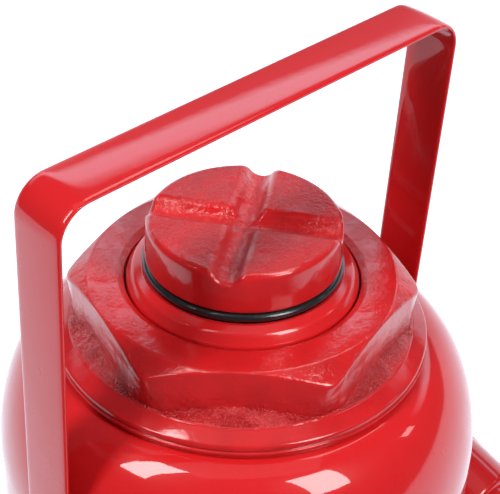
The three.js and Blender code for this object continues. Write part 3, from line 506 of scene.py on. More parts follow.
RAM_PAINT = gloss_enamel("red_satin_enamel", 0.012, 0.13)
SADDLE_PAINT = cast_enamel("red_cast_enamel_saddle", 1.1, 0.05, 0.5, 0.38, rim=SADDLE_RADIUS - 1.8,
                           gloss=0.09, dirt=0.12)
NUT_PAINT = cast_enamel("red_cast_enamel_nut", 1.3, 0.02, 0.5, rim=FLANGE_RADIUS - 5.9, top=NUT_TOP - 10,
                        gloss=0.08, dirt=0.45)
FINISHES = {
    "red_enamel": gloss_enamel("red_gloss_enamel"),
    "cast_red": cast_enamel("red_cast_enamel", 0.4, 0.03, 0.3),
    "black_oxide": black_oxide("black_oxide"),
    "ground_steel": steel("ground_steel", (0.56, 0.57, 0.58), 0.22),
    "zinc_steel": steel("zinc_plated_steel", (0.62, 0.63, 0.62), 0.3, 0.6, (1, 1, 1), 0.85),
    "spring_steel": steel("spring_steel", (0.36, 0.36, 0.38), 0.3, 0.4, (1, 1, 4)),
    "bronze": steel("bronze", (0.56, 0.34, 0.12), 0.3, 0.4, (1, 1, 10)),
    "copper": steel("copper", (0.62, 0.28, 0.16), 0.35, 0.6, (1, 1, 1)),
    "rubber": rubber("nitrile_rubber"),
    "polyurethane": rubber("blue_polyurethane", (0.05, 0.13, 0.32)),
}


# ------ reservoir and top nut
def reservoir():
    """The tank, whose shoulder is a quarter of an ellipse."""
    bottom = TANK_LOW[2]
    dome_start = NUT_TOP - 64.4
    width, rise = TANK_RADIUS - TANK_MOUTH, DOME_TOP - dome_start
    lip = TANK_MOUTH - 0.2
    corners = [(TANK_RADIUS - 0.5, bottom, 0), (TANK_RADIUS, bottom + 0.5, 0)]
    corners += ellipse_arc((TANK_MOUTH, dome_start), (width, rise), 0, 90, 48)
    corners += [(lip, DOME_TOP, 0), (lip, DOME_TOP - TANK_WALL, 0)]
    corners += ellipse_arc((TANK_MOUTH, dome_start), (width - TANK_WALL, rise - TANK_WALL), 90, 0, 24)
    corners += [(TANK_RADIUS - TANK_WALL, bottom, 0)]
    tank = turned("reservoir_tank_shell", corners, 192, closed=True)
    bore_hole(tank, (0, TANK_RADIUS - 10, middle("filler_plug")[2]), (0, 1, 0), 7.0, 24)
    finished(tank, "reservoir_tank", "red_enamel")


def bore_hole(piece, origin, along, radius, length):
    """Cuts a round hole through a finished mesh."""
    drill = turned("drill", [(0, 0, 0), (radius, 0, 0), (radius, length, 0), (0, length, 0)], 48,
                   place=placed(origin, along))
    cut = piece.modifiers.new("hole", "BOOLEAN")
    cut.object = drill
    cut.operation = "DIFFERENCE"
    cut.solver = "EXACT"
    apply_modifiers(piece)
    bpy.data.objects.remove(drill)
    clean(piece)


def apply_modifiers(piece):
    graph = bpy.context.evaluated_depsgraph_get()
    done = bpy.data.meshes.new_from_object(piece.evaluated_get(graph))
    piece.modifiers.clear()
    piece.data = done


def top_nut():
    """The cast nut: a chamfered hexagon on a sloping flange with a raised band, bored for the ram."""
    flat_top = ACROSS_FLATS / 2 - 0.5
    bushing, clearance, thread = 41.2, RAM_RADIUS + 0.6, 51.1
    bottom, underside = NUT_LOW[2], DOME_TOP + 1.4
    band_inner, band_outer = FLANGE_RADIUS - 4.9, FLANGE_RADIUS - 0.25
    grain_end, hexagon_end = band_inner - 1.0, band_inner - 1.6
    wiper_top, wiper_bottom = NUT_TOP - 4, NUT_TOP - 9

    def slant(radius, above=0.0):
        """Height of the flange's sloping top."""
        return NUT_TOP - 12.7 - (radius - 48.0) * 0.593 + above

    def corners(reach):
        foot = min(reach, hexagon_end)
        return [
            (bushing, bottom, 0), (thread, bottom, 0.4), (thread, underside, 0.3),
            (FLANGE_RADIUS - 1.1, underside, 0.4), (FLANGE_RADIUS, underside + 0.5, 0.35),
            (FLANGE_RADIUS, underside + 1.3, 0.35), (FLANGE_RADIUS - 0.8, underside + 1.65, 0.25),
            (FLANGE_RADIUS - 0.2, underside + 2.3, 0.4), (band_outer, slant(band_outer, 0.7), 2.6),
            (band_inner, slant(band_inner, 0.55), 1.2), (grain_end, slant(grain_end), 0.8),
            (foot, slant(foot), 1.6), (reach, NUT_TOP - (reach - flat_top) * HEX_CHAMFER, 1.7),
            (flat_top, NUT_TOP, 2.6), (clearance + 2.2, NUT_TOP, 0.8), (clearance, NUT_TOP - 1.3, 0.5),
            (clearance, wiper_top, 0.2), (bushing, wiper_top, 0.2), (bushing, wiper_bottom, 0.2),
            (clearance, wiper_bottom, 0.2), (clearance, bottom + 18, 0.2), (bushing, bottom + 18, 0.2),
        ]

    nut = turned("top_nut_body", corners, 432, closed=True,
                 reach=lambda angle: hexagon_reach(angle, ACROSS_FLATS, 6.0, HEX_TURN))
    finished(nut, "top_nut", "cast_red", NUT_PAINT)


def flat_ring(name, node, inner, outer, inner_edge, outer_edge, material=None):
    """A gasket or seal. The last two sizes are the roundings of its edges."""
    low, high = span(node)
    corners = [(inner, low[2], inner_edge), (outer, low[2], outer_edge), (outer, high[2], outer_edge),
               (inner, high[2], inner_edge)]
    finished(turned(name, corners, closed=True), node, "rubber", material)


def tank_seals():
    """The gasket under the tank, and the seal on its mouth, which is painted over with the jack."""
    flat_ring("tank_foot_gasket", "tank_base_gasket", TANK_RADIUS - 3.3, TANK_RADIUS - 0.3, 0.2, 0.5)
    flat_ring("tank_mouth_seal", "tank_top_seal", TANK_MOUTH, TANK_MOUTH + 1.2, 0.3, 0.3, RAM_PAINT)


# ------ ram, screw and saddle
def ram():
    """The ram: a piston with two grooves, a plain tube and a rounded rim, bored for the screw."""
    bottom, rim = RAM_LOW[2], RAM_HIGH[2]
    piston = RAM_HIGH[0]
    floor = SCREW_LOW[2] - 9
    corners = [(0, bottom, 0), (piston, bottom, 1.5)]
    for groove, low, high, edge in ((38.5, 3, 11, 0.3), (42, 14, 18, 0.2)):
        corners += [(piston, bottom + low, 0.2), (groove, bottom + low, edge),
                    (groove, bottom + high, edge), (piston, bottom + high, 0.2)]
    corners += [
        (piston, bottom + 20, 0.8), (RAM_RADIUS, bottom + 20, 0.8), (RAM_RADIUS, rim - 4.6, 2.4),
        (35.0, rim - 1.3, 3.0), (32.2, rim, 0.5), (RAM_BORE, rim, 0.5), (RAM_BORE, floor + 3, 1),
        (RAM_BORE - 3, floor, 1), (0, floor, 0),
    ]
    finished(turned("ram_tube", corners), "ram", "red_enamel", RAM_PAINT)


def extension_screw():
    """A right-hand thread below a neck that bulges over the ram's rim, and a grooved spigot."""
    pitch, depth = 6.0, 1.9
    bottom, top = SCREW_LOW[2], SCREW_HIGH[2]
    shoulder, rim = SADDLE_LOW[2] - 0.3, RAM_HIGH[2] + 0.15
    thread_top = shoulder - 9
    spigot, clip = 15.6, 13.8
    clip_low, clip_high = SADDLE_LOW[2] + 1.4, SADDLE_LOW[2] + 3.2
    levels = np.arange(bottom + 3, thread_top + 0.01, pitch / 12)
    fade = np.clip((thread_top - levels) / pitch, 0, 1) * np.clip((levels - bottom - 3) / 2, 0, 1)
    tip = [(0, bottom), (SCREW_RADIUS - 3.2, bottom), (SCREW_RADIUS - 2.8, bottom + 0.3)]
    neck = (SCREW_RADIUS - 0.4, (rim + shoulder) / 2)
    bulge = ellipse_arc(neck, (2.0, (shoulder - rim) / 2), -90, 90, 14)
    end = [(SCREW_RADIUS, rim - 0.3)] + [point[:2] for point in bulge]
    end += [(spigot, shoulder), (spigot, clip_low), (clip, clip_low), (clip, clip_high),
            (spigot, clip_high), (spigot, top - 1), (spigot - 1, top), (0, top)]
    rings = []
    for angle in np.linspace(0, 2 * math.pi, 96, endpoint=False):
        phase = ((levels - pitch * angle / (2 * math.pi)) / pitch) % 1.0
        valley = np.clip(1 - np.abs(phase - 0.5) * 2 / 0.84, 0, 1)
        radius = SCREW_RADIUS - depth * np.minimum(valley * 1.25, 1) * fade
        rings.append(swung(np.array(tip + list(zip(radius, levels)) + end), angle))
    screw = skin("extension_screw_threaded", rings, around=False, looped=True)
    finished(screw, "extension_screw", "black_oxide")


def saddle():
    """The cap with its two crossed grooves, hollow underneath for the screw's spigot and ring."""
    low, high = SADDLE_LOW[2], SADDLE_HIGH[2]
    socket, slot = 16.0, 17.8
    floor, half_floor = high - 3.8, 2.0

    def groove(x, y, z, turn):
        across = np.abs(-x * math.sin(turn) + y * math.cos(turn))
        wall = (across - half_floor) * 0.80 - (z - floor + 0.1) * 0.60
        return both(wall, floor - z, 1.5)

    def field(x, y, z):
        radius = np.hypot(x, y)
        side = radius - (SADDLE_RADIUS - 0.55 * (z - low) / (high - low))
        body = both(both(side, z - high, 2.0), low - z, 0.8)
        cross = either(groove(x, y, z, GROOVE_TURN), groove(x, y, z, GROOVE_TURN + math.pi / 2), 1.4)
        body = without(body, cross, 1.3)
        hollow = both(radius - socket, z - (low + 6), 0.3)
        ring_slot = both(radius - slot, between(z, low + 1.2, low + 3.4), 0.1)
        return without(body, np.minimum(hollow, ring_slot), 0.2)

    piece = carved("saddle_cap", field, SADDLE_LOW, SADDLE_HIGH, 0.4)
    finished(piece, "saddle", "cast_red", SADDLE_PAINT)


# ------ carry handle
def strap_path():
    """Centre line of the strap from foot to foot, as X, height above the pivot and outward normal."""
    half = HANDLE_HIGH[0] - STRAP_THICKNESS / 2
    top = (HANDLE_HIGH[2] - HANDLE_PIVOT[2]) / math.cos(HANDLE_LEAN) - STRAP_THICKNESS / 2 - 0.3
    bend = STRAP_BEND - STRAP_THICKNESS / 2
    tip = STRAP_WIDTH / 2
    rounded_end = -tip * np.cos(np.linspace(0, math.pi / 2, 12))
    leg = np.concatenate([rounded_end, np.linspace(8, top - bend, 24)])

    def corner(side, angles):
        turns = [(math.cos(angle), math.sin(angle)) for angle in angles]
        return [(side * (half - bend) + bend * c, top - bend + bend * s, c, s) for c, s in turns]

    path = [(-half, z, -1.0, 0.0) for z in leg]
    path += corner(-1, np.linspace(math.pi, math.pi / 2, 15)[1:])
    path += [(x, top, 0.0, 1.0) for x in np.linspace(-half + bend, half - bend, 26)[1:-1]]
    path += corner(1, np.linspace(math.pi / 2, 0, 15))
    path += [(half, z, 1.0, 0.0) for z in leg[::-1][1:]]
    return np.array(path)


def strap_section(crown=0.35, edge=0.8):
    """Rounded cross-section of the strap as offsets across its width and along its normal."""
    half, half_width = STRAP_THICKNESS / 2, STRAP_WIDTH / 2
    across = np.linspace(-1, 1, 9)
    flat = half_width - edge
    upper = [(flat * a, half - crown * a * a) for a in across]
    rim = [(half_width, half - crown - edge * 0.55), (half_width, -half + edge * 0.55)]
    lower = [(flat * a, -half) for a in across[::-1]]
    left = [(-x, z) for x, z in rim[::-1]]
    return np.array(upper + rim + lower + left)


def carry_handle():
    """The bent strap. Its feet are rounded, with the narrowest ring at each tip."""
    tip, narrowest = STRAP_WIDTH / 2, 0.4
    lean = np.array(Matrix.Rotation(HANDLE_LEAN, 3, "X"))
    rings = []
    for x, z, nx, nz in strap_path():
        half_width = max(math.sqrt(max(tip ** 2 - min(z, 0) ** 2, 0)), narrowest)
        across, out = (strap_section() * (half_width / tip, 1)).T
        rings.append(np.column_stack([x + nx * out, across, z + nz * out]) @ lean.T + HANDLE_PIVOT)
    strap = skin("carry_handle_strap", rings, capped=True, crease=math.radians(50))
    smooth = strap.modifiers.new("smooth", "SUBSURF")
    smooth.levels = smooth.render_levels = 1
    apply_modifiers(strap)
    bore_hole(strap, (-100, HANDLE_PIVOT[1], HANDLE_PIVOT[2]), (1, 0, 0), 5.4, 200)
    finished(strap, "carry_handle", "red_enamel")


# ------ base casting
def base_casting():
    """The cast foot with its skirt, pads, valve bosses and link ears, drilled as the CAD node is."""
    foot_top, body_top, skirt_top, floor_top = 16.0, 50.0, TANK_LOW[2] - 1.8, BASE_HIGH[2]
    inset, foot_corner, body_corner = 10.0, 28.0, 20.0
    core = 20.0  # the height where the raised pieces start, inside the body
    floor_radius, cylinder_bore, cylinder_seat = 76.4, 57.4, 52.0
    pad, pad_inner, pad_half = TANK_RADIUS + 0.2, 60.0, STRAP_WIDTH / 2 + 3.5
    ear_inner, ear_outer = 7.6, 17.6
    release, front_plug = middle("release_screw")[::2], middle("front_gallery_plug")[::2]
    delivery, safety = middle("delivery_plug")[:2], middle("safety_cap")[:2]
    pump, link = (PUMP_X, 0), LINK_PIVOT[1:]

    def raised(x, y, z):
        """The pieces that stand on the foot, each with the radius of its blend."""
        yield both(both(np.hypot(x, y) - (TANK_RADIUS - 0.4), z - skirt_top, 0.6), core - z), 5
        pads = both(between(np.abs(x), pad_inner, pad), np.abs(y - HANDLE_PIVOT[1]) - pad_half, 2)
        yield both(both(pads, z - skirt_top, 2), core - z), 3
        for centre, radius, top in ((pump, 20.0, 66.0), (delivery, 12.0, 60.0), (safety, 11.0, 68.0)):
            yield both(both(disc(x, y, radius, centre), z - top, 1.5), core - z), 3
        ear = capsule(y, z, link, 12, (link[0], body_top - 10), 14)
        yield both(ear, between(np.abs(x - PUMP_X), ear_inner, ear_outer), 1.2), 3
        yield both(disc(x, z, 14, release), between(y, -84, -50), 1.5), 3

    def bored(x, y, z):
        """The drilled holes, from the planes where they end."""
        yield both(np.hypot(x, y) - cylinder_bore, cylinder_seat - z)
        for radius, centre, end in ((13.3, pump, 34), (7.0, delivery, 31), (5.5, safety, 45)):
            yield both(disc(x, y, radius, centre), end - z)
        for radius, centre, end in ((8.3, release, -58), (5.4, front_plug, -70)):
            yield both(disc(x, z, radius, centre), y - end)
        side_plug = middle("side_gallery_plug")[1:]
        for radius, centre, end, away in ((5.4, side_plug, 128, x), (5.2, link, 80, x),
                                          (5.4, HANDLE_PIVOT[1:], 64, np.abs(x))):
            yield both(disc(y, z, radius, centre), end - away)

    def field(x, y, z):
        foot = rounded_rectangle(x, y, BASE_LOW, BASE_HIGH, foot_corner)
        body = rounded_rectangle(x, y, BASE_LOW + inset, BASE_HIGH - inset, body_corner)
        whole = both(both(foot, z - foot_top, 3), -z, 2)
        whole = either(whole, both(both(body, z - body_top, 7), foot_top / 2 - z), 5)
        for shape, blend in raised(x, y, z):
            whole = either(whole, shape, blend)
        whole = np.minimum(whole, both(np.hypot(x, y) - floor_radius, between(z, core, floor_top)))
        return without(whole, np.minimum.reduce(list(bored(x, y, z))), 0.6)

    piece = carved("base_casting_body", field, BASE_LOW, BASE_HIGH, 1.25)
    finished(piece, "base_casting", "cast_red")


# ------ pump
def moved(piece, turn, origin):
    """Turns a piece about X and moves it to a point in millimetres."""
    piece.data.transform(Matrix.Translation(Vector(origin) * MM) @ Matrix.Rotation(turn, 4, "X"))
    piece.data.update()


def hexagon(across_flats, corner_radius=0.5):
    return lambda angle: hexagon_reach(angle, across_flats, corner_radius, 0)


def pump_cylinder():
    """The screwed-in cylinder, with a hexagon collar and a wiper's groove in its bore."""
    low, high = span("pump_cylinder")
    bottom, top = low[2], high[2]
    bore, groove, flat = 8.3, 11.2, 15.7
    collar, collar_top = 66.2, 78.2

    def corners(reach):
        return [(bore, bottom, 0.3), (13, bottom, 0.9), (13, collar, 0.3), (reach, collar, 0.5),
                (reach, collar_top - (reach - flat) * HEX_CHAMFER, 0.5), (flat, collar_top, 0.4),
                (15, collar_top + 0.2, 0.3), (15, top - 2, 0.8), (13.4, top, 0.8), (bore, top, 0.4),
                (bore, top - 2.5, 0.2), (groove, top - 2.5, 0.2), (groove, top - 6, 0.2),
                (bore, top - 6, 0.2)]

    piece = turned("pump_barrel", corners, 144, hexagon(32, 1), True, placed((PUMP_X, 0, 0)))
    finished(piece, "pump_cylinder", "black_oxide")


def pump_plunger():
    """A ground rod with a seal's groove at its foot and an eye at its head."""
    low, high = span("pump_plunger")
    bottom = low[2]
    pin = LEVER_PIVOT[2]

    def field(x, y, z):
        axis = np.hypot(x, y)
        shaft = both(both(axis - 8, bottom - z, 0.9), z - pin)
        shaft = np.maximum(shaft, -both(between(z, bottom + 4, bottom + 9), 5.6 - axis))
        eye = both(disc(y, z, 12, (0, pin)), np.abs(x) - 8.5, 0.8)
        return without(either(shaft, eye, 2.5), disc(y, z, 5.2, (0, pin)), 0.4)

    piece = carved("pump_plunger_rod", field, (-12, -12, bottom), (12, 12, high[2]), 0.55)
    moved(piece, 0, (PUMP_X, 0, 0))
    finished(piece, "pump_plunger", "ground_steel")


def pump_lever():
    """The forked lever from the plunger pin: the socket's barrel points along -Y and then droops."""
    arm = middle("fulcrum_pin") - middle("plunger_pin")
    reach = math.hypot(arm[1], arm[2])
    rise = math.atan2(arm[2], arm[1]) - SOCKET_DROOP
    fulcrum = (reach * math.cos(rise), reach * math.sin(rise))

    def field(x, y, z):
        rear = capsule(y, z, fulcrum, 13, (0, 0), 15)
        front = capsule(y, z, (0, 0), 15, (-24, 0), 8.5)
        cheeks = both(either(rear, front, 4), between(np.abs(x), *CHEEK), 1.4)
        barrel = both(disc(x, z, 19), between(y, -39, -15), 2.6)
        whole = either(cheeks, barrel, 3)
        seat = both(disc(x, z, SOCKET_RADIUS + 0.2), y + SOCKET_START - 0.2)
        holes = np.minimum(disc(y, z, PIN_RADIUS + 0.2), disc(y, z, PIN_RADIUS + 0.2, fulcrum))
        return without(without(whole, holes, 0.6), seat, 0.8)

    piece = carved("pump_lever_fork", field, (-19, -39, -19), (19, fulcrum[0] + 13, 19), 0.6)
    moved(piece, SOCKET_DROOP, LEVER_PIVOT)
    finished(piece, "pump_lever", "cast_red", RAM_PAINT)


def handle_socket():
    """A tube for the pump bar, notched at its mouth for the bar's key."""
    radius, start, bore, end = SOCKET_RADIUS, SOCKET_START, 12.0, 102.0

    def field(x, y, z):
        axis = np.hypot(x, z)
        tube = both(both(axis - radius, between(y, -end, -start), 0.9), bore - axis, 0.6)
        slot = both(np.abs(x) - 2.6, both(y + end - 14, -z), 2.4)
        return without(tube, slot, 0.4)

    piece = carved("handle_socket_tube", field, (-radius, -end, -radius), (radius, -start, radius), 0.6)
    moved(piece, SOCKET_DROOP, LEVER_PIVOT)
    finished(piece, "handle_socket", "red_enamel")


def fulcrum_link():
    """The link between the casting's ears and the lever. Its upper hole is wider than the pin."""
    arm = middle("fulcrum_pin") - middle("link_pin")
    reach, half_width, eye = 64.0, 7.0, 12.6
    turn = -math.atan2(arm[1], arm[2])

    def field(x, y, z):
        side = np.abs(x) - half_width
        web = both(capsule(y, z, (0, 0), 8, (0, reach), 8), side, 1.2)
        eyes = np.minimum(disc(y, z, 11.5), disc(y, z, eye, (0, reach)))
        whole = either(web, both(eyes, side, 1.2), 4)
        holes = np.minimum(disc(y, z, PIN_RADIUS + 0.2), disc(y, z, PIN_RADIUS + 3.8, (0, reach)))
        return without(whole, holes, 0.5)

    corner = np.array([half_width, eye, eye])
    piece = carved("fulcrum_link_bar", field, -corner, corner + (0, 0, reach), 0.6)
    moved(piece, turn, LINK_PIVOT)
    finished(piece, "fulcrum_link", "cast_red")


def clevis_pin(node):
    """A headed pin with a clip groove. Its head is on the -X side."""
    low, high = span(node)
    head, end = low[0], high[0]
    groove, rim, neck = end - 4, PIN_RADIUS + 2.4, PIN_RADIUS - 1
    corners = [(0, head, 0), (rim, head, 0.9), (rim, head + 3, 0.4), (PIN_RADIUS, head + 3, 0.2),
               (PIN_RADIUS, groove, 0.1), (neck, groove, 0.1), (neck, groove + 1.6, 0.1),
               (PIN_RADIUS, groove + 1.6, 0.1), (PIN_RADIUS, end, 0.9), (0, end, 0)]
    _, y, z = middle(node)
    piece = turned(node + "_turned", corners, FINE_STEPS, place=placed((0, y, z), (1, 0, 0)))
    finished(piece, node, "zinc_steel")


def pin_clip(node, pin):
    """A spring clip that is open underneath."""
    low, high = span(node)
    _, pin_y, pin_z = middle(pin)
    turn = 0 if pin == "link_pin" else SOCKET_DROOP
    reach = PIN_RADIUS + 3.4

    def field(x, y, z):
        axis = np.hypot(y, z)
        ring = both(both(axis - reach, PIN_RADIUS - 0.8 - axis, 0.3), between(x, low[0], high[0]), 0.3)
        gap = both(np.abs(y) + z * math.tan(math.radians(40)), z)
        return without(ring, gap, 0.5)

    piece = carved(node + "_ring", field, (low[0], -reach, -reach), (high[0], reach, reach), 0.3)
    moved(piece, turn, (0, pin_y, pin_z))
    finished(piece, node, "spring_steel")


# ------ bolts, valves and plugs
def headed(node, profile, reach, origin, along):
    """A turned and zinc-plated piece with a hexagon somewhere on it."""
    piece = turned(node + "_turned", profile, 96, reach, place=placed(origin, along), arc_steps=3)
    finished(piece, node, "zinc_steel")


def hex_head(flats, bottom, top):
    """The corners of a chamfered hexagon head, by the hexagon's reach."""
    flat = flats / 2 - 0.2
    return lambda reach: [(reach, bottom, 0.2), (reach, top - (reach - flat) * HEX_CHAMFER, 0.4),
                          (flat, top, 0.5), (0, top, 0)]


def pivot_bolts():
    """The handle's shoulder bolts, each with a washer face under its head."""
    flats, tall, shank, length = 16, 6.4, 5, 17
    head = hex_head(flats, 1, tall)
    for side, sign in (("left", -1), ("right", 1)):
        node = "handle_pivot_bolt_" + side
        seat = span(node)[1 if sign > 0 else 0][0] - sign * tall
        headed(node, lambda reach: [
            (0, -length, 0), (shank, -length, 0.8), (shank, 0, 0.2), (9.9, 0, 0.3), (9.6, 1, 0.3),
            *head(reach)],
            hexagon(flats), (seat, *HANDLE_PIVOT[1:]), (sign, 0, 0))


def release_screw():
    """The needle screw: a cone, a body with an O-ring's groove, and a stem drilled for its bar."""
    low, high = span("release_screw")
    x, _, z = middle("release_screw")
    length = high[1] - low[1]
    corners = [(0, 0, 0), (2.6, 0, 0.4), (4.8, 3, 0.4), (4.8, 9, 0.3), (8, 10, 0.3), (8, 19.2, 0.1),
               (5.8, 19.2, 0.1), (5.8, 21.8, 0.1), (8, 21.8, 0.1), (8, 28.2, 0.3), (6, 29.2, 0.2),
               (6, length, 1.2), (0, length, 0)]
    screw = turned("release_screw_stem", corners, FINE_STEPS, place=placed((x, high[1], z), (0, -1, 0)))
    bore_hole(screw, middle("release_cross_pin") - (20, 0, 0), (1, 0, 0), 3.3, 40)
    finished(screw, "release_screw", "black_oxide")


def release_gland_nut():
    """The hexagon nut that holds the screw's seal, chamfered on both faces."""
    low, high = span("release_gland_nut")
    x, _, z = middle("release_screw")
    depth, bore, flat = high[1] - low[1], 6.4, 11.6

    def corners(reach):
        chamfer = (reach - flat) * HEX_CHAMFER
        return [(bore, 0, 0.5), (flat, 0, 0.3), (reach, chamfer, 0.3), (reach, depth - chamfer, 0.3),
                (flat, depth, 0.3), (bore, depth, 0.5)]

    place = placed((x, high[1], z), (0, -1, 0))
    nut = turned("release_gland_nut_turned", corners, 96, hexagon(24), True, place)
    finished(nut, "release_gland_nut", "zinc_steel")


def release_cross_bar():
    """The bar through the stem that turns the screw."""
    low, high = span("release_cross_pin")
    _, y, z = middle("release_cross_pin")
    length, radius = high[0] - low[0], 3
    corners = [(0, 0, 0), (radius, 0, 1.2), (radius, length, 1.2), (0, length, 0)]
    bar = turned("release_cross_bar", corners, 48, place=placed((low[0], y, z), (1, 0, 0)))
    finished(bar, "release_cross_pin", "zinc_steel")


def valve_caps():
    """Screwed caps over the delivery and safety valves."""
    for node, spigot, depth, flats, tall in (("delivery_plug", 6.8, 8.4, 17, 6),
                                             ("safety_cap", 5.2, 2.6, 14, 5)):
        x, y, _ = middle(node)
        seat = span(node)[1][2] - tall
        head = hex_head(flats, 0, tall)
        headed(node, lambda reach: [
            (0, -depth, 0), (spigot, -depth, 0.5), (spigot, 0, 0.1), *head(reach)],
            hexagon(flats), (x, y, seat), (0, 0, 1))


def gallery_plugs():
    """Flush plugs with a hexagon key socket."""
    for node, radius, length, key, side in (("front_gallery_plug", 5.0, 7.5, 5.0, 1),
                                            ("side_gallery_plug", 5.0, 7.5, 5.0, 0),
                                            ("suction_gallery_plug", 2.6, 6.0, 2.4, 0)):
        low, high = span(node)
        origin = middle(node)
        origin[side] = high[1] if side else low[0]
        along = (0, -1, 0) if side else (1, 0, 0)
        headed(node, lambda reach: [
            (0, 0, 0), (radius, 0, 0.5), (radius, length, 0.5), (reach, length, 0.2),
            (reach, length - 3.4, 0.1), (0, length - 3.8, 0)],
            hexagon(key, 0.15), origin, along)


def coil_spring(node, turns, wire):
    """A valve spring of round wire that the lifting ball presses up against its seat, built at one length."""
    low, high = span(node)
    x, y, _ = middle(node)
    radius = (high[0] - low[0]) / 2 - wire
    length = high[2] - low[2] - 2 * wire
    section = np.linspace(0, 2 * math.pi, 10, endpoint=False)
    rings = []
    for share in np.linspace(0, 1, turns * 20 + 1):
        rise = share - 0.275 / turns * math.sin(2 * math.pi * share)
        across = radius + wire * np.cos(section)
        level = low[2] + wire + length * rise + wire * np.sin(section)
        rings.append(swung(np.column_stack([across, level]), 2 * math.pi * turns * share) + (x, y, 0))
    spring = skin(node + "_coil", rings, capped=True, crease=math.radians(70))
    finished(spring, node, "spring_steel")
    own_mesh(spring)


def filler_plug():
    """A push-in plug with a barbed neck and a dished head."""
    high = span("filler_plug")[1]
    x, _, z = middle("filler_plug")
    corners = [(0, -6, 0), (5.4, -6, 0.4), (6.6, -4.8, 0.4), (6.2, -3.8, 0.3), (6.2, 0.6, 0.2),
               (9.4, 0.9, 0.3), (9.4, 2, 0.5), (8.4, 2.8, 0.6), (3.4, 3.2, 0.6), (3, 2.2, 0.4),
               (0, 2.2, 0)]
    place = placed((x, high[1] - 3.2, z), (0, 1, 0))
    plug = turned("filler_plug_moulded", corners, FINE_STEPS, place=place)
    finished(plug, "filler_plug", "rubber")


# ------ studio
def softbox(name, azimuth, elevation, distance, size, radiance, target):
    """An area light seen from the target in a direction: azimuth 0 is -Y and 90 is +X."""
    light = bpy.data.lights.new(name, "AREA")
    light.shape = "RECTANGLE"
    light.size, light.size_y = size
    light.energy = radiance * math.pi * size[0] * size[1]
    lamp = linked(name, light)
    a, e = math.radians(azimuth), math.radians(elevation)
    way = Vector((math.sin(a) * math.cos(e), -math.cos(a) * math.cos(e), math.sin(e)))
    lamp.location = target + way * distance
    lamp.rotation_euler = way.to_track_quat("Z", "Y").to_euler()


CAMERA_AZIMUTH = -46.5
SWEEP_TINT = (0.92, 0.95, 1.06)
STRIP_TINT = (0.62, 0.98, 1.16)


def white_sweep(graph, ray):
    """Radiance met by a reflection, from how far its ray runs back, aside and up, as shares of 1.

    The studio's white sweep rises towards the back and is dim in its middle. A strip hangs over it."""
    towards = (math.sin(math.radians(CAMERA_AZIMUTH)), -math.cos(math.radians(CAMERA_AZIMUTH)), 0)
    back = graph.along(ray, towards)
    aside = graph.math("ABSOLUTE", graph.along(ray, (-towards[1], towards[0], 0)))
    rise = graph.along(ray, (0, 0, -1))
    sweep_light, strip_light, dim, ambient = 1.25, 2.3, 0.12, 0.10

    def edge(climb, fall):
        """The height where the sweep ends: it climbs to the back and falls off to the sides."""
        drop = graph.times(aside, fall)
        return graph.math("SUBTRACT", graph.times(back, climb), drop)

    top = graph.math("MAXIMUM", edge(0.38, 0.125), edge(0.79, 0.355))
    below = graph.remap(graph.math("SUBTRACT", top, rise), -0.03, 0.03)
    below = graph.times(below, graph.remap(back, -0.5, -0.3))
    beside = graph.remap(aside, 0.12, 0.36, dim, sweep_light)
    level = graph.remap(rise, -0.02, 0.1, sweep_light, dim)
    sweep = graph.times(below, graph.math("MAXIMUM", beside, level))
    over, under = graph.remap(rise, 0.505, 0.545), graph.remap(rise, 0.60, 0.66, 1.0, 0.0)
    behind = graph.remap(back, 0.3, 0.6, 0.0, strip_light)
    strip = graph.times(graph.times(over, under), behind)
    return graph.math("ADD", graph.math("MAXIMUM", sweep, strip), ambient)


def sweep_glow(graph):
    """Radiance by kind of ray: seen by the camera, met by a reflection, and lighting the object."""
    seen, other = 0.95, 0.06
    ray, kind = graph.ray()
    for flag, strength in (("Is Glossy Ray", white_sweep(graph, ray)), ("Is Camera Ray", seen)):
        base = graph.times(graph.math("SUBTRACT", 1.0, kind[flag]), other)
        other = graph.math("ADD", base, graph.times(kind[flag], strength))
    return other


def floor():
    """A pale floor, 12 m across. A reflection meets only its glow, as it does with the world's."""
    bpy.ops.mesh.primitive_plane_add(size=12.0, location=(0, 0, 0))
    ground = bpy.context.object
    ground.name = "floor"
    paint = Paint("pale_floor", (0.8, 0.8, 0.8), 0.9)
    pale = paint.shade(paint.noise(400, 2), 0.98, 1.02)
    kind = paint.ray()[1]
    tone = paint.mix(kind["Is Glossy Ray"], pale, (0, 0, 0))
    paint.links.new(tone, paint.surface.inputs["Base Color"])
    paint.put({"Specular IOR Level": 0.0, "Emission Color": (*SWEEP_TINT, 1)})
    paint.links.new(sweep_glow(paint), paint.surface.inputs["Emission Strength"])
    ground.data.materials.append(paint.material)


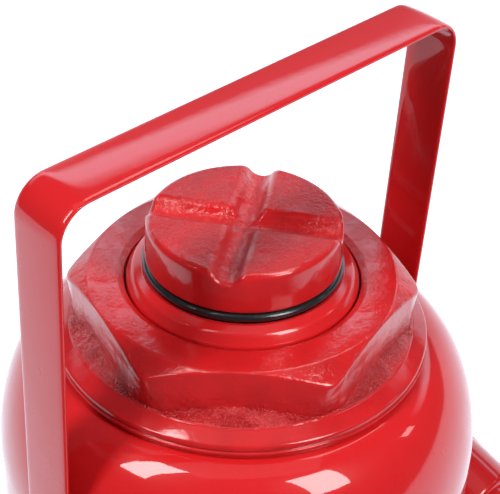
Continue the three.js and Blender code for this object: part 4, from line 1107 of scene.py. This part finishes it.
def studio():
    """Softboxes aimed at the nut, and a world that glows as the sweep does. The strip is cooler."""
    target = Vector((0, 0, NUT_TOP * MM))
    for name, aside, elevation, distance, size, radiance in (
            ("left_softbox", -52, 50, 1.25, (0.27, 0.74), 13.5),
            ("right_softbox", 46, 40, 1.25, (0.38, 0.70), 12),
            ("side_card", 97, 29, 1.3, (0.14, 0.14), 5),
            ("back_fill", 155, 62, 1.5, (0.5, 0.5), 3),
            ("top_fill", 20, 88, 1.6, (1.2, 1.2), 0.42)):
        softbox(name, CAMERA_AZIMUTH + aside, elevation, distance, size, radiance, target)
    world = bpy.data.worlds.new("studio")
    world.use_nodes = True
    graph = Graph(world.node_tree)
    background = graph.nodes["Background"]
    ray, kind = graph.ray()
    high = graph.remap(graph.along(ray, (0, 0, -1)), 0.45, 0.5)
    tint = graph.mix(graph.times(high, kind["Is Glossy Ray"]), SWEEP_TINT, STRIP_TINT)
    graph.links.new(tint, background.inputs["Color"])
    graph.links.new(sweep_glow(graph), background.inputs["Strength"])
    bpy.context.scene.world = world
    bpy.context.scene.view_settings.view_transform = "Standard"
    floor()


def camera():
    """The fitted viewpoint: away from the ram's axis, above the nut and turned by psi about the axis.

    It looks down by pitch, off the axis by yaw, and is tilted by roll."""
    psi, away, above = 0.8117, 355.105, 266.18
    pitch, yaw, roll = 0.6265, 0.0055, -0.0418
    data = bpy.data.cameras.new("camera")
    data.sensor_width = 36.0
    data.lens = 100.9629
    data.clip_start = 0.01
    view = linked("camera", data)
    spot = Vector((-away * math.sin(psi), -away * math.cos(psi), NUT_TOP + above))
    aim = Matrix.Rotation(-psi - yaw, 4, "Z") @ Matrix.Rotation(math.pi / 2 - pitch, 4, "X")
    view.matrix_world = Matrix.Translation(spot * MM) @ aim @ Matrix.Rotation(-roll, 4, "Z")
    bpy.context.scene.camera = view


# ------ assembly
def dress_cad_nodes():
    """Every CAD node that stays takes its slot's finish."""
    slots = {row["node"]: row["material_slot"] for row in frame["record"]["subparts"]}
    for node, piece in frame["nodes"].items():
        piece.data.materials.clear()
        piece.data.materials.append(FINISHES[slots[node]])


dress_cad_nodes()
reservoir()
top_nut()
tank_seals()
ram()
extension_screw()
saddle()
carry_handle()
base_casting()
pump_cylinder()
pump_plunger()
pump_lever()
handle_socket()
fulcrum_link()
for pin in ("plunger_pin", "fulcrum_pin", "link_pin"):
    clevis_pin(pin)
    pin_clip(pin + "_clip", pin)
pivot_bolts()
release_screw()
release_gland_nut()
release_cross_bar()
valve_caps()
gallery_plugs()
filler_plug()
coil_spring("delivery_spring", 6, 0.55)
coil_spring("safety_spring", 4, 0.7)
studio()
camera()
